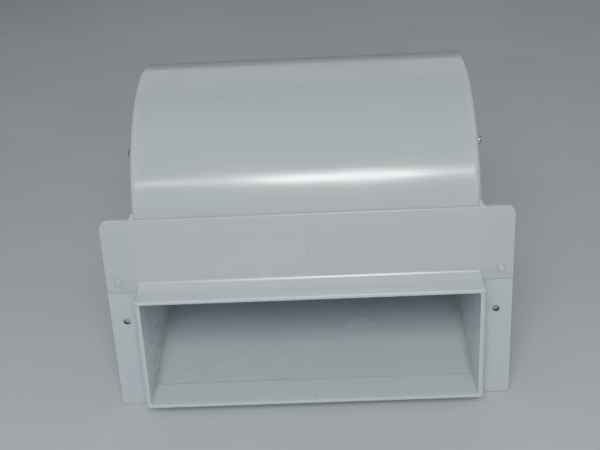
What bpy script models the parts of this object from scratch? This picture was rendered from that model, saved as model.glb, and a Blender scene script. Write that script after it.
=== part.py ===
"""Centrifugal roof-vent blower: a two-part moulded scroll casing with a flanged outlet,
a squirrel-cage impeller and the motor that sits inside it. Metres, +Z up, +X along the shaft,
outlet towards -Y. The origin is the middle of the flat seat on the top flange strip."""

import math

import bmesh
import bpy
from mathutils import Matrix

MM = 0.001

# Clearances
GAP = 0.3 * MM              # between pieces that touch
RUN_GAP = 0.8 * MM          # between rotor and stator
BITE = 1.0 * MM             # how far solids run into each other before they are joined
TUCK = 0.1 * MM             # how far a buried solid stops short of a visible edge
SEAM = 0.2 * MM             # the same, where two layers would otherwise share a face

# Outlet collar
OUTLET_TOP = 82.6 * MM      # height of the lip's underside
COLLAR_DEPTH = 18.4 * MM
COLLAR_BOTTOM = 8.6 * MM
LIP_FILLET_R = 8.0 * MM
LIP_BITE = 0.05 * MM        # how far the bend above the lip runs into the flange
COLLAR_CORNER_R = 1.8 * MM
JOINT_CORNER_R = 0.3 * MM   # corners where the two shells' flanges meet

# Scroll
CASING_WIDTH = 210.0 * MM
WALL = 2.2 * MM
SCROLL_R = 89.0 * MM
SCROLL_Y = SCROLL_R - 0.9 * MM
SCROLL_HEIGHT = SCROLL_R + 20.9 * MM
RAMP_START_Y = 5.0 * MM     # crease between the collar's floor and the ramp
END_ROUND = 3.5 * MM        # rounding where the wrapper meets the end walls
INNER_ROUND = 1.5 * MM
TONGUE_THICK = 2.0 * MM
TONGUE_BEAD_R = 2.2 * MM
TONGUE_BEAD_Y = 15.0 * MM
TONGUE_BEAD_HEIGHT = OUTLET_TOP + 2.6 * MM
TONGUE_ROOT_TURN = -48.0    # degrees down the inside of the bend to the tongue's root
EAR_FILLET_R = 4.0 * MM

# Flange that seats against the panel
EAR_WIDTH = 20.0 * MM
FLANGE_WIDTH = CASING_WIDTH + 2 * EAR_WIDTH
FLANGE_HEIGHT = OUTLET_TOP + 48.0 * MM
FLANGE_THICK = 3.2 * MM
FLANGE_LAYER = 1.5 * MM     # front layer at the ears, carried by the upper shell
CENTRE_SINK = 0.7 * MM      # from the flange's face to the hidden web behind it
TOP_CORNER_R = 5.2 * MM
BOTTOM_CORNER_R = 3.6 * MM
SEAT_HEIGHT = FLANGE_HEIGHT - 16.6 * MM  # height of the origin above the flange's bottom edge
COLLAR_WIDTH = CASING_WIDTH + 0.8 * MM

# Joint between the two shells
SHELF_DROP = 0.6 * MM       # the lower shell's rim lies this far below the lip's underside
BELT_THICK = 2.2 * MM
BELT_BELOW = 6.0 * MM
BELT_ABOVE = 6.0 * MM
BELT_START_Y = 6.5 * MM
RING_CLEARANCE = 1.0 * MM   # from the belt to the inlet rings
SHELL_OVERLAP = 3.0 * MM    # how far the lower wrapper rises before it is trimmed to the shelf
LAYER_OVERLAP = 2.0 * MM    # how far the ears' back layer reaches below the shelf
LUG_X = CASING_WIDTH / 2 - 35.0 * MM
LUG_R = 6.0 * MM
LUG_THICK = 4.0 * MM
LUG_REACH = SCROLL_R + 3.6 * MM  # from the scroll's centre back to the rear screws
LUG_ROOT = 14.0 * MM        # length of a lug's straight part
POST_DEPTH = 13.0 * MM
POST_SHRINK = 0.5 * MM      # a post's radius is this much less than its lug's

# Fastening points on the ears
EAR_HOLE_X = FLANGE_WIDTH / 2 - 9.8 * MM
EAR_HOLE_HEIGHT = OUTLET_TOP - 21.1 * MM
EAR_HOLE_R = 2.25 * MM
PEG_X = FLANGE_WIDTH / 2 - 7.7 * MM
PEG_HEIGHT = OUTLET_TOP + 6.7 * MM
PEG_R = 1.6 * MM
PEG_HEAD_R = 2.5 * MM
PEG_HEAD_THICK = 0.9 * MM
PEG_CLEARANCE = 1.0 * MM    # from a peg's head to the end of the strip's flat middle
PEG_RELIEF = 0.1 * MM       # how far the ears stand back from the strip round the pegs

# Impeller
AXIS_Y = SCROLL_Y - 6.1 * MM
AXIS_HEIGHT = SCROLL_HEIGHT + 6.1 * MM
WHEEL_R = SCROLL_R - 25.0 * MM
WHEEL_INNER_R = WHEEL_R - 12.0 * MM
WHEEL_LENGTH = CASING_WIDTH - 22.0 * MM
RIM_LENGTH = 3.0 * MM
RIM_INNER_R = WHEEL_INNER_R - 0.5 * MM
BLADE_COUNT = 30
BLADE_THICK = 1.3 * MM
BLADE_SWEEP = 9.0           # degrees that the tip leads the heel
BLADE_CURVE = 1.7           # how late along the blade that lead is gained
BLADE_BITE = 0.5 * MM       # a blade ends this far inside the rims
DISC_THICK = 2.4 * MM
DISC_DROP = 0.6 * MM        # the disc's edge lies this far inside the wheel's outline

# Metal hub, shaft and grub screw
SHAFT_R = 4.0 * MM
SHAFT_LEFT = 17.0 * MM      # from the impeller's disc to the free end
SHAFT_CHAMFER = 0.6 * MM
HUB_R = SHAFT_R + 3.0 * MM
HUB_LEFT = 15.0 * MM
HUB_RIGHT = 7.0 * MM
BOSS_R = HUB_R + 4.0 * MM
BOSS_LEFT = 3.0 * MM
BOSS_RIGHT = 8.0 * MM
BOSS_FOOT_LEFT = 1.0 * MM   # how much wider the boss is at the disc
BOSS_FOOT_RIGHT = 3.0 * MM
GRUB_R = 1.8 * MM
GRUB_X = 9.0 * MM
GRUB_SOCKET = 1.5 * MM

# Inlet rings
THROAT_R = WHEEL_INNER_R - 2.0 * MM
RING_THICK = 2.0 * MM
RING_OUTER_R = THROAT_R + 16.0 * MM
RING_SCREW_R = THROAT_R + 10.0 * MM
RING_ROLL_R = 4.0 * MM      # the rolled mouth
BORE_CLEARANCE = 1.5 * MM   # from a ring's throat to the bore in the casing
THROAT_NOSE_GAP = 3.0 * MM  # from the impeller's end to the throat's nose
RING_SCREWS = 4

# Motor
MOTOR_SHARE = 0.68          # the motor's part of the throat's radius; air flows through the rest
MOTOR_R = MOTOR_SHARE * THROAT_R
MOTOR_START = 18.0 * MM     # from the impeller's disc to the can's front face
MOTOR_LENGTH = WHEEL_LENGTH / 2 - 28.0 * MM
CAN_WALL = 1.6 * MM
CAN_BEND_R = 3.0 * MM
CAP_THICK = 3.0 * MM
BUSH_R = SHAFT_R + 2.0 * MM
BUSH_FLANGE_R = BUSH_R + 2.0 * MM
BUSH_FLANGE = 1.6 * MM
BUSH_LENGTH = 9.0 * MM
STATOR_INNER_R = MOTOR_R - 13.5 * MM
STATOR_LENGTH = MOTOR_LENGTH - 26.0 * MM
STATOR_SLOTS = 12
SLOT_DEPTH = 6.0 * MM
SLOT_WIDTH = 2.4 * MM
ROTOR_OVERHANG = 1.0 * MM   # the rotor's stack is this much longer at each end than the stator's
ROTOR_RING_STEP = 2.5 * MM
ROTOR_RING_LENGTH = 3.0 * MM
MOUTH_SHARE = 0.1           # where the rotor's funnel ends, from its foot towards the end ring
WINDING_DEPTH = 6.0 * MM
WINDING_IN = 1.2 * MM       # from the stator's bore to the coil heads
WINDING_OUT = 2.0 * MM      # from the can's inside to the coil heads
BOLT_CIRCLE_R = MOTOR_R - 10.0 * MM
POST_R = 4.5 * MM
POST_LENGTH = 6.0 * MM
ARM_COUNT = 3
ARM_TURN = 30.0             # degrees, which sets the arms between the bolts
ARM_WIDTH = 9.0 * MM
ARM_THICK = 4.5 * MM
ARM_BITE = 3.3 * MM         # how far an arm runs into the spider plate
ARM_SINK = 0.3 * MM         # from the plate's inner face to the arm's
ARM_END_BITE = 0.6 * MM     # how far an arm runs into the ring
SPIDER_R = MOTOR_R - 2.0 * MM
SPIDER_INNER_R = BOLT_CIRCLE_R - 11.0 * MM
SPIDER_THICK = 2.5 * MM
GROMMET_R = 5.0 * MM
GROMMET_FLANGE_R = 7.2 * MM
GROMMET_FLANGE = 1.6 * MM
LEAD_R = 3.0 * MM
LEAD_RIM = 1.2 * MM         # how far the lead grommet's rims stand out
LEAD_OFFSET = 1.5 * MM      # the lead leaves this far outside the bolt circle

# Screws
SMALL_SHANK_R = 1.4 * MM
SMALL_HEAD_R = 3.0 * MM
SMALL_LENGTH = 9.0 * MM
MOTOR_SHANK_R = 2.0 * MM
MOTOR_HEAD_R = 4.0 * MM
HEAD_THICK = 2.0 * MM
REAR_SHANK_R = 1.6 * MM
REAR_LENGTH = 15.0 * MM
BOSS_WALL = 2.0 * MM
HOLE_REACH = 5.0 * MM       # how far short cutters pass each side of a plate

# Fineness of round shapes
FINE = 36
ROUND = 24
PLAIN = 16
COARSE = 12
SCREW_SIDES = 10
CORNER = 4
BEND_STEPS = 6
BEVEL_STEPS = 2
SCROLL_STEP = 7.5           # degrees of arc per facet on the scroll
SHARP = 35.0                # degrees above which an edge is shaded sharp
ROUNDED_ABOVE = 50.0        # degrees above which an extruded outline's edge is rounded

RAMP_REACH = math.hypot(SCROLL_Y - RAMP_START_Y, SCROLL_HEIGHT - COLLAR_BOTTOM - WALL)
RAMP_ANGLE = (math.atan2(SCROLL_HEIGHT - COLLAR_BOTTOM - WALL, SCROLL_Y - RAMP_START_Y)
              - math.asin((SCROLL_R - WALL) / RAMP_REACH))
SHELF = OUTLET_TOP - SHELF_DROP
UPPER_EDGE = SHELF + GAP
FAR = 0.4                   # reach of cutters that pass right through


# Materials

def material(name, colour, roughness, metallic=0.0):
    """A Principled BSDF material of one colour."""
    made = bpy.data.materials.new(name)
    made.use_nodes = True
    shader = made.node_tree.nodes["Principled BSDF"]
    shader.inputs["Base Color"].default_value = (*colour, 1.0)
    shader.inputs["Roughness"].default_value = roughness
    shader.inputs["Metallic"].default_value = metallic
    return made


# Objects and their relations

def add_object(name, bm, parent, look=None):
    """An object from a bmesh, with its faces pointing out, smooth where it is round."""
    bmesh.ops.recalc_face_normals(bm, faces=bm.faces)
    mesh = bpy.data.meshes.new(name)
    bm.to_mesh(mesh)
    bm.free()
    mesh.shade_smooth()
    mesh.set_sharp_from_angle(angle=math.radians(SHARP))
    made = bpy.data.objects.new(name, mesh)
    bpy.context.scene.collection.objects.link(made)
    made.parent = parent
    if look:
        mesh.materials.append(look)
    else:
        made.hide_render = True
        made.display_type = "WIRE"
    return made


def empty(name, location, parent=None):
    """A named point that other objects hang on."""
    made = bpy.data.objects.new(name, None)
    bpy.context.scene.collection.objects.link(made)
    made.location = location
    made.parent = parent
    return made


def combine(target, operation, *tools):
    """Adds, cuts or intersects each tool object, in order."""
    for tool in tools:
        step = target.modifiers.new(tool.name, "BOOLEAN")
        step.operation = operation
        step.object = tool


# Outlines: lists of points in a plane

def arc(centre, radius, start, end, step=None, count=None):
    """Points on an arc, angles in degrees, both ends included."""
    steps = count or max(2, math.ceil(abs(end - start) / step))
    turns = [math.radians(start + (end - start) * i / steps) for i in range(steps + 1)]
    return [(centre[0] + radius * math.cos(a), centre[1] + radius * math.sin(a)) for a in turns]


def rounded_rectangle(left, right, low, high, low_r, high_r):
    """A rectangle with one radius at its two lower corners and one at its upper corners."""
    return (arc((left + low_r, low + low_r), low_r, 180, 270, count=CORNER)
            + arc((right - low_r, low + low_r), low_r, 270, 360, count=CORNER)
            + arc((right - high_r, high - high_r), high_r, 0, 90, count=CORNER)
            + arc((left + high_r, high - high_r), high_r, 90, 180, count=CORNER))


def scroll_outline(offset):
    """The casing's side view, moved outwards by offset: ramp, wrapper and front."""
    radius = SCROLL_R + offset
    start = -90 + math.degrees(RAMP_ANGLE)
    wrapper = arc((SCROLL_Y, SCROLL_HEIGHT), radius, start, 180, step=SCROLL_STEP)
    front_y = wrapper[-1][0]
    foot = wrapper[0][1] - (wrapper[0][0] - front_y) * math.tan(RAMP_ANGLE)
    return [(front_y, foot), *wrapper]


def cavity_outline():
    """The air path's side view: outlet, ramp, wrapper and the bend that leads into the lip."""
    radius = SCROLL_R - WALL
    floor = COLLAR_BOTTOM + WALL
    start = -90 + math.degrees(RAMP_ANGLE)
    front = math.degrees(math.acos((WALL - SCROLL_Y) / radius))
    wrapper = arc((SCROLL_Y, SCROLL_HEIGHT), radius, start, front, step=SCROLL_STEP)
    bend_centre = (-LIP_FILLET_R, OUTLET_TOP + WALL + LIP_FILLET_R)
    bend = arc(bend_centre, LIP_FILLET_R + WALL, 0, -90, count=BEND_STEPS)
    return [(-FAR, floor), (RAMP_START_Y, floor), *wrapper, *bend, (-FAR, OUTLET_TOP)]


# Solids from outlines

def prism(points, low, high, place):
    """A closed prism: place turns a point of the outline and a depth into x, y and z."""
    bm = bmesh.new()
    ends = [[bm.verts.new(place(u, v, depth)) for u, v in points] for depth in (low, high)]
    bm.faces.new(ends[0])
    bm.faces.new(ends[1])
    count = len(points)
    for i in range(count):
        j = (i + 1) % count
        bm.faces.new((ends[0][i], ends[0][j], ends[1][j], ends[1][i]))
    return bm


def along_x(points, low, high):
    """A prism along X from an outline in Y and Z."""
    return prism(points, low, high, lambda u, v, depth: (depth, u, v))


def along_y(points, low, high):
    """A prism along Y from an outline in X and Z."""
    return prism(points, low, high, lambda u, v, depth: (u, depth, v))


def along_z(points, low, high):
    """A prism along Z from an outline in X and Y."""
    return prism(points, low, high, lambda u, v, depth: (u, v, depth))


def circle(radius, count, centre=(0.0, 0.0)):
    """A circle's points, without the repeated last one."""
    return arc(centre, radius, 0, 360, count=count)[:-1]


def box(x_range, y_range, z_range):
    """A closed box."""
    corners = [(y_range[0], z_range[0]), (y_range[1], z_range[0]),
               (y_range[1], z_range[1]), (y_range[0], z_range[1])]
    return along_x(corners, *x_range)


def merged(parts):
    """One bmesh that holds several separate shapes."""
    whole = bmesh.new()
    for part in parts:
        mesh = bpy.data.meshes.new("piece")
        part.to_mesh(mesh)
        part.free()
        whole.from_mesh(mesh)
        bpy.data.meshes.remove(mesh)
    return whole


def turned(profile, count):
    """A solid turned about X from a closed profile of (x, radius) points."""
    bm = bmesh.new()
    rings = []
    for x, radius in profile:
        if radius == 0:
            rings.append([bm.verts.new((x, 0, 0))])
        else:
            rings.append([bm.verts.new((x, y, z)) for y, z in circle(radius, count)])
    for ring, following in zip(rings, rings[1:] + rings[:1]):
        if len(ring) == 1 and len(following) == 1:
            continue
        for i in range(count):
            j = (i + 1) % count
            corners = [ring[i % len(ring)], ring[j % len(ring)],
                       following[j % len(following)], following[i % len(following)]]
            bm.faces.new(list(dict.fromkeys(corners)))
    return bm


def tube(low, high, outer, inner, count=ROUND):
    """A plain sleeve along X."""
    return turned([(low, inner), (low, outer), (high, outer), (high, inner)], count)


def rod(low, high, radius, count=COARSE):
    """A plain rod along X."""
    return turned([(low, 0), (low, radius), (high, radius), (high, 0)], count)


def moved(bm, x=0.0, y=0.0, z=0.0):
    """The same bmesh, moved."""
    bmesh.ops.translate(bm, verts=bm.verts, vec=(x, y, z))
    return bm


def polar(radius, degrees):
    """The y and z of a point at an angle about the shaft, from +Y towards +Z."""
    return radius * math.cos(math.radians(degrees)), radius * math.sin(math.radians(degrees))


def rounded_ends(target, width):
    """Rounds the edges between an extruded outline and its flat ends."""
    step = target.modifiers.new("rounded ends", "BEVEL")
    step.width = width
    step.segments = BEVEL_STEPS
    step.limit_method = "ANGLE"
    step.angle_limit = math.radians(ROUNDED_ABOVE)


# Casing

def casing_tools(frame):
    """The helper solids that both shells are made with."""
    half = CASING_WIDTH / 2
    cavity = add_object("air_path", along_x(cavity_outline(), WALL - half, half - WALL), frame)
    rounded_ends(cavity, INNER_ROUND)
    inlet = rod(-FAR, FAR, THROAT_R + RING_THICK + BORE_CLEARANCE, FINE)
    inlets = add_object("inlet_bores", moved(inlet, 0, AXIS_Y, AXIS_HEIGHT), frame)
    return cavity, inlets


def ring_screw_angles():
    """Where the screws stand round each inlet, half in each shell."""
    return [360 / RING_SCREWS * (i + 0.5) for i in range(RING_SCREWS)]


def ring_bosses(name, frame, angles):
    """Screw bosses inside both end walls."""
    inner = CASING_WIDTH / 2 - SMALL_LENGTH + GAP
    outer = CASING_WIDTH / 2 - WALL / 2
    parts = []
    for degrees in angles:
        y, z = polar(RING_SCREW_R, degrees)
        for low, high in ((-outer, -inner), (inner, outer)):
            boss = rod(low, high, SMALL_SHANK_R + GAP + BOSS_WALL)
            parts.append(moved(boss, 0, AXIS_Y + y, AXIS_HEIGHT + z))
    return add_object(name, merged(parts), frame)


def ring_screw_holes(name, frame, angles):
    """The holes for those screws, through walls and bosses."""
    parts = []
    for degrees in angles:
        y, z = polar(RING_SCREW_R, degrees)
        for low, high in ((-FAR, -WHEEL_LENGTH / 2), (WHEEL_LENGTH / 2, FAR)):
            hole = rod(low, high, SMALL_SHANK_R + GAP)
            parts.append(moved(hole, 0, AXIS_Y + y, AXIS_HEIGHT + z))
    return add_object(name, merged(parts), frame)


def ear_holes(name, frame, x, height, radius):
    """A pair of round holes through both ears."""
    parts = [along_y(circle(radius, PLAIN, (side * x, height)), -FAR, FAR) for side in (-1, 1)]
    return add_object(name, merged(parts), frame)


def ear_fillets(frame):
    """Small concave corners between the ears' top edges and the drum's end walls."""
    half = CASING_WIDTH / 2
    foot = FLANGE_HEIGHT - BITE
    parts = []
    for side in (-1, 1):
        reach = side * (half + EAR_FILLET_R)
        curve = arc((half + EAR_FILLET_R, FLANGE_HEIGHT + EAR_FILLET_R), EAR_FILLET_R,
                    270, 180, count=CORNER)
        outline = [(side * u, v) for u, v in curve]
        outline += [(side * (half - WALL / 2), FLANGE_HEIGHT + EAR_FILLET_R),
                    (side * (half - WALL / 2), foot), (reach, foot)]
        parts.append(along_y(outline, 2 * SEAM, FLANGE_LAYER - TUCK))
    return add_object("ear_corner_fillets", merged(parts), frame)


def peg_relief(frame):
    """A shallow step in front of both pegs, so that the strip between them is one clear seat."""
    inner = PEG_X - PEG_HEAD_R - PEG_CLEARANCE
    outer = FLANGE_WIDTH / 2 + FLANGE_LAYER
    depth = (-FLANGE_LAYER, PEG_RELIEF)
    height = (UPPER_EDGE - FLANGE_LAYER, FLANGE_HEIGHT + FLANGE_LAYER)
    parts = [box(x, depth, height) for x in ((-outer, -inner), (inner, outer))]
    return add_object("peg_relief", merged(parts), frame)


def upper_shell(frame, look, cavity, inlets):
    """Drum, top flange strip with the ears' front layer, bend and outlet lip."""
    half = CASING_WIDTH / 2
    shell = add_object("upper_shell", along_x(scroll_outline(0), -half, half), frame, look)
    rounded_ends(shell, END_ROUND)
    region = box((-FAR, FAR), (FLANGE_LAYER + SEAM, FAR), (UPPER_EDGE, FAR))
    region = add_object("upper_region", region, frame)
    combine(shell, "INTERSECT", region)

    reach = FLANGE_WIDTH / 2
    strip_outline = rounded_rectangle(-reach, reach, UPPER_EDGE, FLANGE_HEIGHT,
                                      JOINT_CORNER_R, TOP_CORNER_R)
    strip = add_object("flange_front_layer", along_y(strip_outline, 0, FLANGE_LAYER), frame)
    centre = box((-half - SEAM, half + SEAM), (CENTRE_SINK, FLANGE_THICK),
                 (UPPER_EDGE + TUCK, FLANGE_HEIGHT - TUCK))
    centre = add_object("flange_centre", centre, frame)

    lip_top = OUTLET_TOP + WALL
    bend = arc((LIP_BITE - LIP_FILLET_R, lip_top + LIP_FILLET_R), LIP_FILLET_R, -90, 0,
               count=BEND_STEPS)
    lip_outline = [(-COLLAR_DEPTH, UPPER_EDGE), (BITE, UPPER_EDGE),
                   (BITE, lip_top + LIP_FILLET_R), *reversed(bend), (-COLLAR_DEPTH, lip_top)]
    lip = add_object("lip_and_bend", along_x(lip_outline, -COLLAR_WIDTH / 2, COLLAR_WIDTH / 2),
                     frame)
    lug_y = SCROLL_Y + LUG_REACH
    lug_outline = arc((0, lug_y), LUG_R, 0, 180, count=2 * CORNER)
    lug_outline += [(-LUG_R, lug_y - LUG_ROOT), (LUG_R, lug_y - LUG_ROOT)]
    lug_low = SHELF + BELT_ABOVE + GAP
    lugs = [moved(along_z(lug_outline, lug_low, lug_low + LUG_THICK), side * LUG_X)
            for side in (-1, 1)]
    lugs = add_object("upper_lugs", merged(lugs), frame)
    combine(shell, "UNION", strip, centre, lip, ear_fillets(frame), lugs)
    combine(shell, "DIFFERENCE", cavity, inlets)

    turn = math.radians(TONGUE_ROOT_TURN)
    root_y = -LIP_FILLET_R + (LIP_FILLET_R + WALL / 2) * math.cos(turn)
    root_z = lip_top + LIP_FILLET_R + (LIP_FILLET_R + WALL / 2) * math.sin(turn)
    bead = arc((TONGUE_BEAD_Y, TONGUE_BEAD_HEIGHT), TONGUE_BEAD_R, -140, 140, count=SCREW_SIDES)
    tongue_outline = [(root_y, root_z + TONGUE_THICK / 2), (root_y, root_z - TONGUE_THICK / 2),
                      *bead]
    side = CASING_WIDTH / 2 - WALL / 2
    tongue = add_object("cutoff_tongue", along_x(tongue_outline, -side, side), frame)
    upper = [a for a in ring_screw_angles() if a < 180]
    combine(shell, "UNION", tongue, ring_bosses("upper_bosses", frame, upper))
    combine(shell, "DIFFERENCE", ring_screw_holes("upper_ring_holes", frame, upper),
            ear_holes("upper_peg_holes", frame, PEG_X, PEG_HEIGHT, PEG_R + GAP),
            rear_holes("upper_lug_holes", frame))
    combine(shell, "DIFFERENCE", peg_relief(frame))
    return shell


def rear_holes(name, frame):
    """Upright holes for the rear screws."""
    low = SHELF + BELT_ABOVE - REAR_LENGTH + LUG_THICK
    y = SCROLL_Y + LUG_REACH
    parts = [along_z(circle(REAR_SHANK_R + GAP, COARSE, (side * LUG_X, y)), low, FAR)
             for side in (-1, 1)]
    return add_object(name, merged(parts), frame)


def lower_shell(frame, look, cavity, inlets):
    """Outlet floor and sides, ramp, drum bottom with its rim, and the flange's main layer."""
    half = CASING_WIDTH / 2
    shell = add_object("lower_shell", along_x(scroll_outline(0), -half, half), frame, look)
    rounded_ends(shell, END_ROUND)
    region = box((-FAR, FAR), (FLANGE_LAYER + SEAM, FAR), (-FAR, SHELF + SHELL_OVERLAP))
    region = add_object("lower_region", region, frame)
    combine(shell, "INTERSECT", region)

    offset = GAP + BELT_THICK
    belt = add_object("belt", along_x(scroll_outline(offset), -half - offset, half + offset), frame)
    rounded_ends(belt, END_ROUND + offset)
    belt_region = box((-FAR, FAR), (BELT_START_Y, FAR), (SHELF - BELT_BELOW, SHELF + BELT_ABOVE))
    belt_region = add_object("belt_region", belt_region, frame)
    combine(belt, "INTERSECT", belt_region)
    ring_room = moved(rod(-FAR, FAR, RING_OUTER_R + RING_CLEARANCE, FINE), 0, AXIS_Y, AXIS_HEIGHT)
    combine(belt, "DIFFERENCE", add_object("ring_room", ring_room, frame))
    posts = []
    for side in (-1, 1):
        post = circle(LUG_R - POST_SHRINK, COARSE, (side * LUG_X, SCROLL_Y + LUG_REACH))
        top = SHELF + BELT_ABOVE - SEAM
        posts.append(along_z(post, top - POST_DEPTH, top))
    posts = add_object("rear_posts", merged(posts), frame)
    combine(shell, "UNION", belt, posts)

    room = along_x(scroll_outline(GAP), -half - GAP, half + GAP)
    room = add_object("upper_shell_room", room, frame)
    rounded_ends(room, END_ROUND + GAP)
    room_region = add_object("room_region", box((-FAR, FAR), (-FAR, FAR), (SHELF, FAR)), frame)
    combine(room, "INTERSECT", room_region)
    combine(shell, "DIFFERENCE", room)

    reach = FLANGE_WIDTH / 2
    plate_outline = rounded_rectangle(-reach, reach, 0, SHELF, BOTTOM_CORNER_R, JOINT_CORNER_R)
    plate = add_object("flange_main", along_y(plate_outline, 0, FLANGE_THICK), frame)
    layers = []
    for side in (-1, 1):
        inner = half + 2 * GAP
        foot = SHELF - LAYER_OVERLAP
        corner = arc((reach - TOP_CORNER_R, FLANGE_HEIGHT - TOP_CORNER_R), TOP_CORNER_R, 0, 90,
                     count=CORNER)
        outline = [(inner, foot), (reach - TUCK, foot), *corner, (inner, FLANGE_HEIGHT)]
        outline = [(side * u, v) for u, v in outline]
        layers.append(along_y(outline, FLANGE_LAYER + GAP, FLANGE_THICK - TUCK))
    layers = add_object("flange_back_layers", merged(layers), frame)
    collar_outline = rounded_rectangle(-COLLAR_WIDTH / 2, COLLAR_WIDTH / 2, COLLAR_BOTTOM,
                                       SHELF - TUCK, COLLAR_CORNER_R, SEAM)
    collar = add_object("collar", along_y(collar_outline, -COLLAR_DEPTH, BITE), frame)
    combine(shell, "UNION", plate, layers, collar)
    combine(shell, "DIFFERENCE", cavity, inlets)
    lower = [a for a in ring_screw_angles() if a > 180]
    combine(shell, "UNION", ring_bosses("lower_bosses", frame, lower))
    combine(shell, "DIFFERENCE", ring_screw_holes("lower_ring_holes", frame, lower),
            ear_holes("lower_peg_holes", frame, PEG_X, PEG_HEIGHT, PEG_R + GAP),
            ear_holes("panel_screw_holes", frame, EAR_HOLE_X, EAR_HOLE_HEIGHT, EAR_HOLE_R),
            rear_holes("lower_post_holes", frame))
    return shell


def peg(name, side, frame, look):
    """A moulded peg that rivets the two layers of an ear together."""
    back = FLANGE_THICK + GAP
    front = -GAP
    tip = PEG_HEAD_THICK
    profile = [(back + tip, 0), (back + tip, PEG_HEAD_R * 0.8), (back, PEG_HEAD_R), (back, PEG_R),
               (front, PEG_R), (front, PEG_HEAD_R), (front - tip * 0.6, PEG_HEAD_R),
               (front - tip, PEG_HEAD_R * 0.8), (front - tip, PEG_R * 0.6), (front - tip * 0.4, 0)]
    made = add_object(name, turned(profile, COARSE), frame, look)
    made.rotation_euler = (0, 0, math.radians(90))
    made.location = (side * PEG_X, 0, PEG_HEIGHT)
    return made


def screw(name, shank_r, head_r, length, parent, look, location, rotation):
    """A pan-head screw whose shank points along its own -X, head at +X, with a driver recess."""
    profile = [(-length, 0), (-length, shank_r), (0, shank_r), (0, head_r), (HEAD_THICK * 0.6, head_r),
               (HEAD_THICK, head_r * 0.7), (HEAD_THICK, head_r * 0.4), (HEAD_THICK * 0.35, 0)]
    made = add_object(name, turned(profile, SCREW_SIDES), parent, look)
    made.location = location
    made.rotation_euler = rotation
    return made


# Inlet rings

def ring_profile():
    """The turned section of an inlet ring, for the +X end: flange, rolled bellmouth and throat."""
    face = CASING_WIDTH / 2 + GAP
    nose = WHEEL_LENGTH / 2 + THROAT_NOSE_GAP
    outer_roll = arc((face + RING_THICK - RING_ROLL_R, THROAT_R + RING_ROLL_R), RING_ROLL_R, 0, -90,
                     count=BEND_STEPS // 2)
    return [(nose, THROAT_R), (nose, THROAT_R + RING_THICK * 0.7),
            (face, THROAT_R + RING_THICK), (face, RING_OUTER_R),
            (face + RING_THICK, RING_OUTER_R - RING_THICK * 0.5),
            *outer_roll]


def ring_flange_holes(side):
    """Cutters for the screw holes through the ring flange on one side."""
    face = side * CASING_WIDTH / 2
    return [moved(rod(face - HOLE_REACH, face + HOLE_REACH, SMALL_SHANK_R + GAP), 0,
                  *polar(RING_SCREW_R, degrees)) for degrees in ring_screw_angles()]


def inlet_ring(axis, look):
    """The open bellmouth at the left inlet."""
    ring = add_object("inlet_ring", turned(ring_profile(), FINE), axis, look)
    ring.rotation_euler = (0, 0, math.radians(180))
    combine(ring, "DIFFERENCE", add_object("left_flange_holes", merged(ring_flange_holes(-1)), axis))
    return ring


def bolt_places():
    """The y and z of the motor's three bolts about the shaft."""
    return [polar(BOLT_CIRCLE_R, 90 + 360 / ARM_COUNT * i) for i in range(ARM_COUNT)]


def spider_face():
    """The x of the spider plate's inner face: past the motor's posts and the grommet flange."""
    return (MOTOR_START + MOTOR_LENGTH + GAP + CAP_THICK + POST_LENGTH + GAP
            + GROMMET_FLANGE + GAP)


def motor_bracket(axis, look):
    """The right inlet ring, with three arms that carry the motor."""
    bracket = add_object("motor_bracket", turned(ring_profile(), FINE), axis, look)
    low = spider_face()
    plate = add_object("spider_plate", tube(low, low + SPIDER_THICK, SPIDER_R, SPIDER_INNER_R), axis)
    arms = []
    for i in range(ARM_COUNT):
        arm = box((low + ARM_SINK, low + ARM_THICK), (SPIDER_R - ARM_BITE, THROAT_R + ARM_END_BITE),
                  (-ARM_WIDTH / 2, ARM_WIDTH / 2))
        turn = Matrix.Rotation(math.radians(ARM_TURN + 360 / ARM_COUNT * i), 3, "X")
        bmesh.ops.rotate(arm, verts=arm.verts, matrix=turn)
        arms.append(arm)
    arms = add_object("spider_arms", merged(arms), axis)
    holes = [moved(rod(low - HOLE_REACH, low + 2 * HOLE_REACH, GROMMET_R + GAP), 0, y, z)
             for y, z in bolt_places()]
    holes = add_object("bracket_holes", merged(holes + ring_flange_holes(1)), axis)
    combine(arms, "UNION", plate)
    combine(bracket, "UNION", arms)
    combine(bracket, "DIFFERENCE", holes)
    return bracket


# Impeller and what turns with it

def blade_outline(degrees):
    """A forward-curved blade's section: its tip leads its heel in the sense of rotation."""
    steps = BEVEL_STEPS
    heel = WHEEL_INNER_R
    tip = WHEEL_R - SEAM
    middle = []
    for i in range(steps + 1):
        share = i / steps
        angle = degrees - BLADE_SWEEP * share ** BLADE_CURVE
        middle.append(polar(heel + (tip - heel) * share, angle))
    left = []
    right = []
    for i, (y, z) in enumerate(middle):
        before = middle[max(i - 1, 0)]
        after = middle[min(i + 1, steps)]
        run = math.hypot(after[0] - before[0], after[1] - before[1])
        normal_y = -(after[1] - before[1]) / run
        normal_z = (after[0] - before[0]) / run
        half = BLADE_THICK / 2
        left.append((y + normal_y * half, z + normal_z * half))
        right.append((y - normal_y * half, z - normal_z * half))
    return right + left[::-1]


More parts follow.
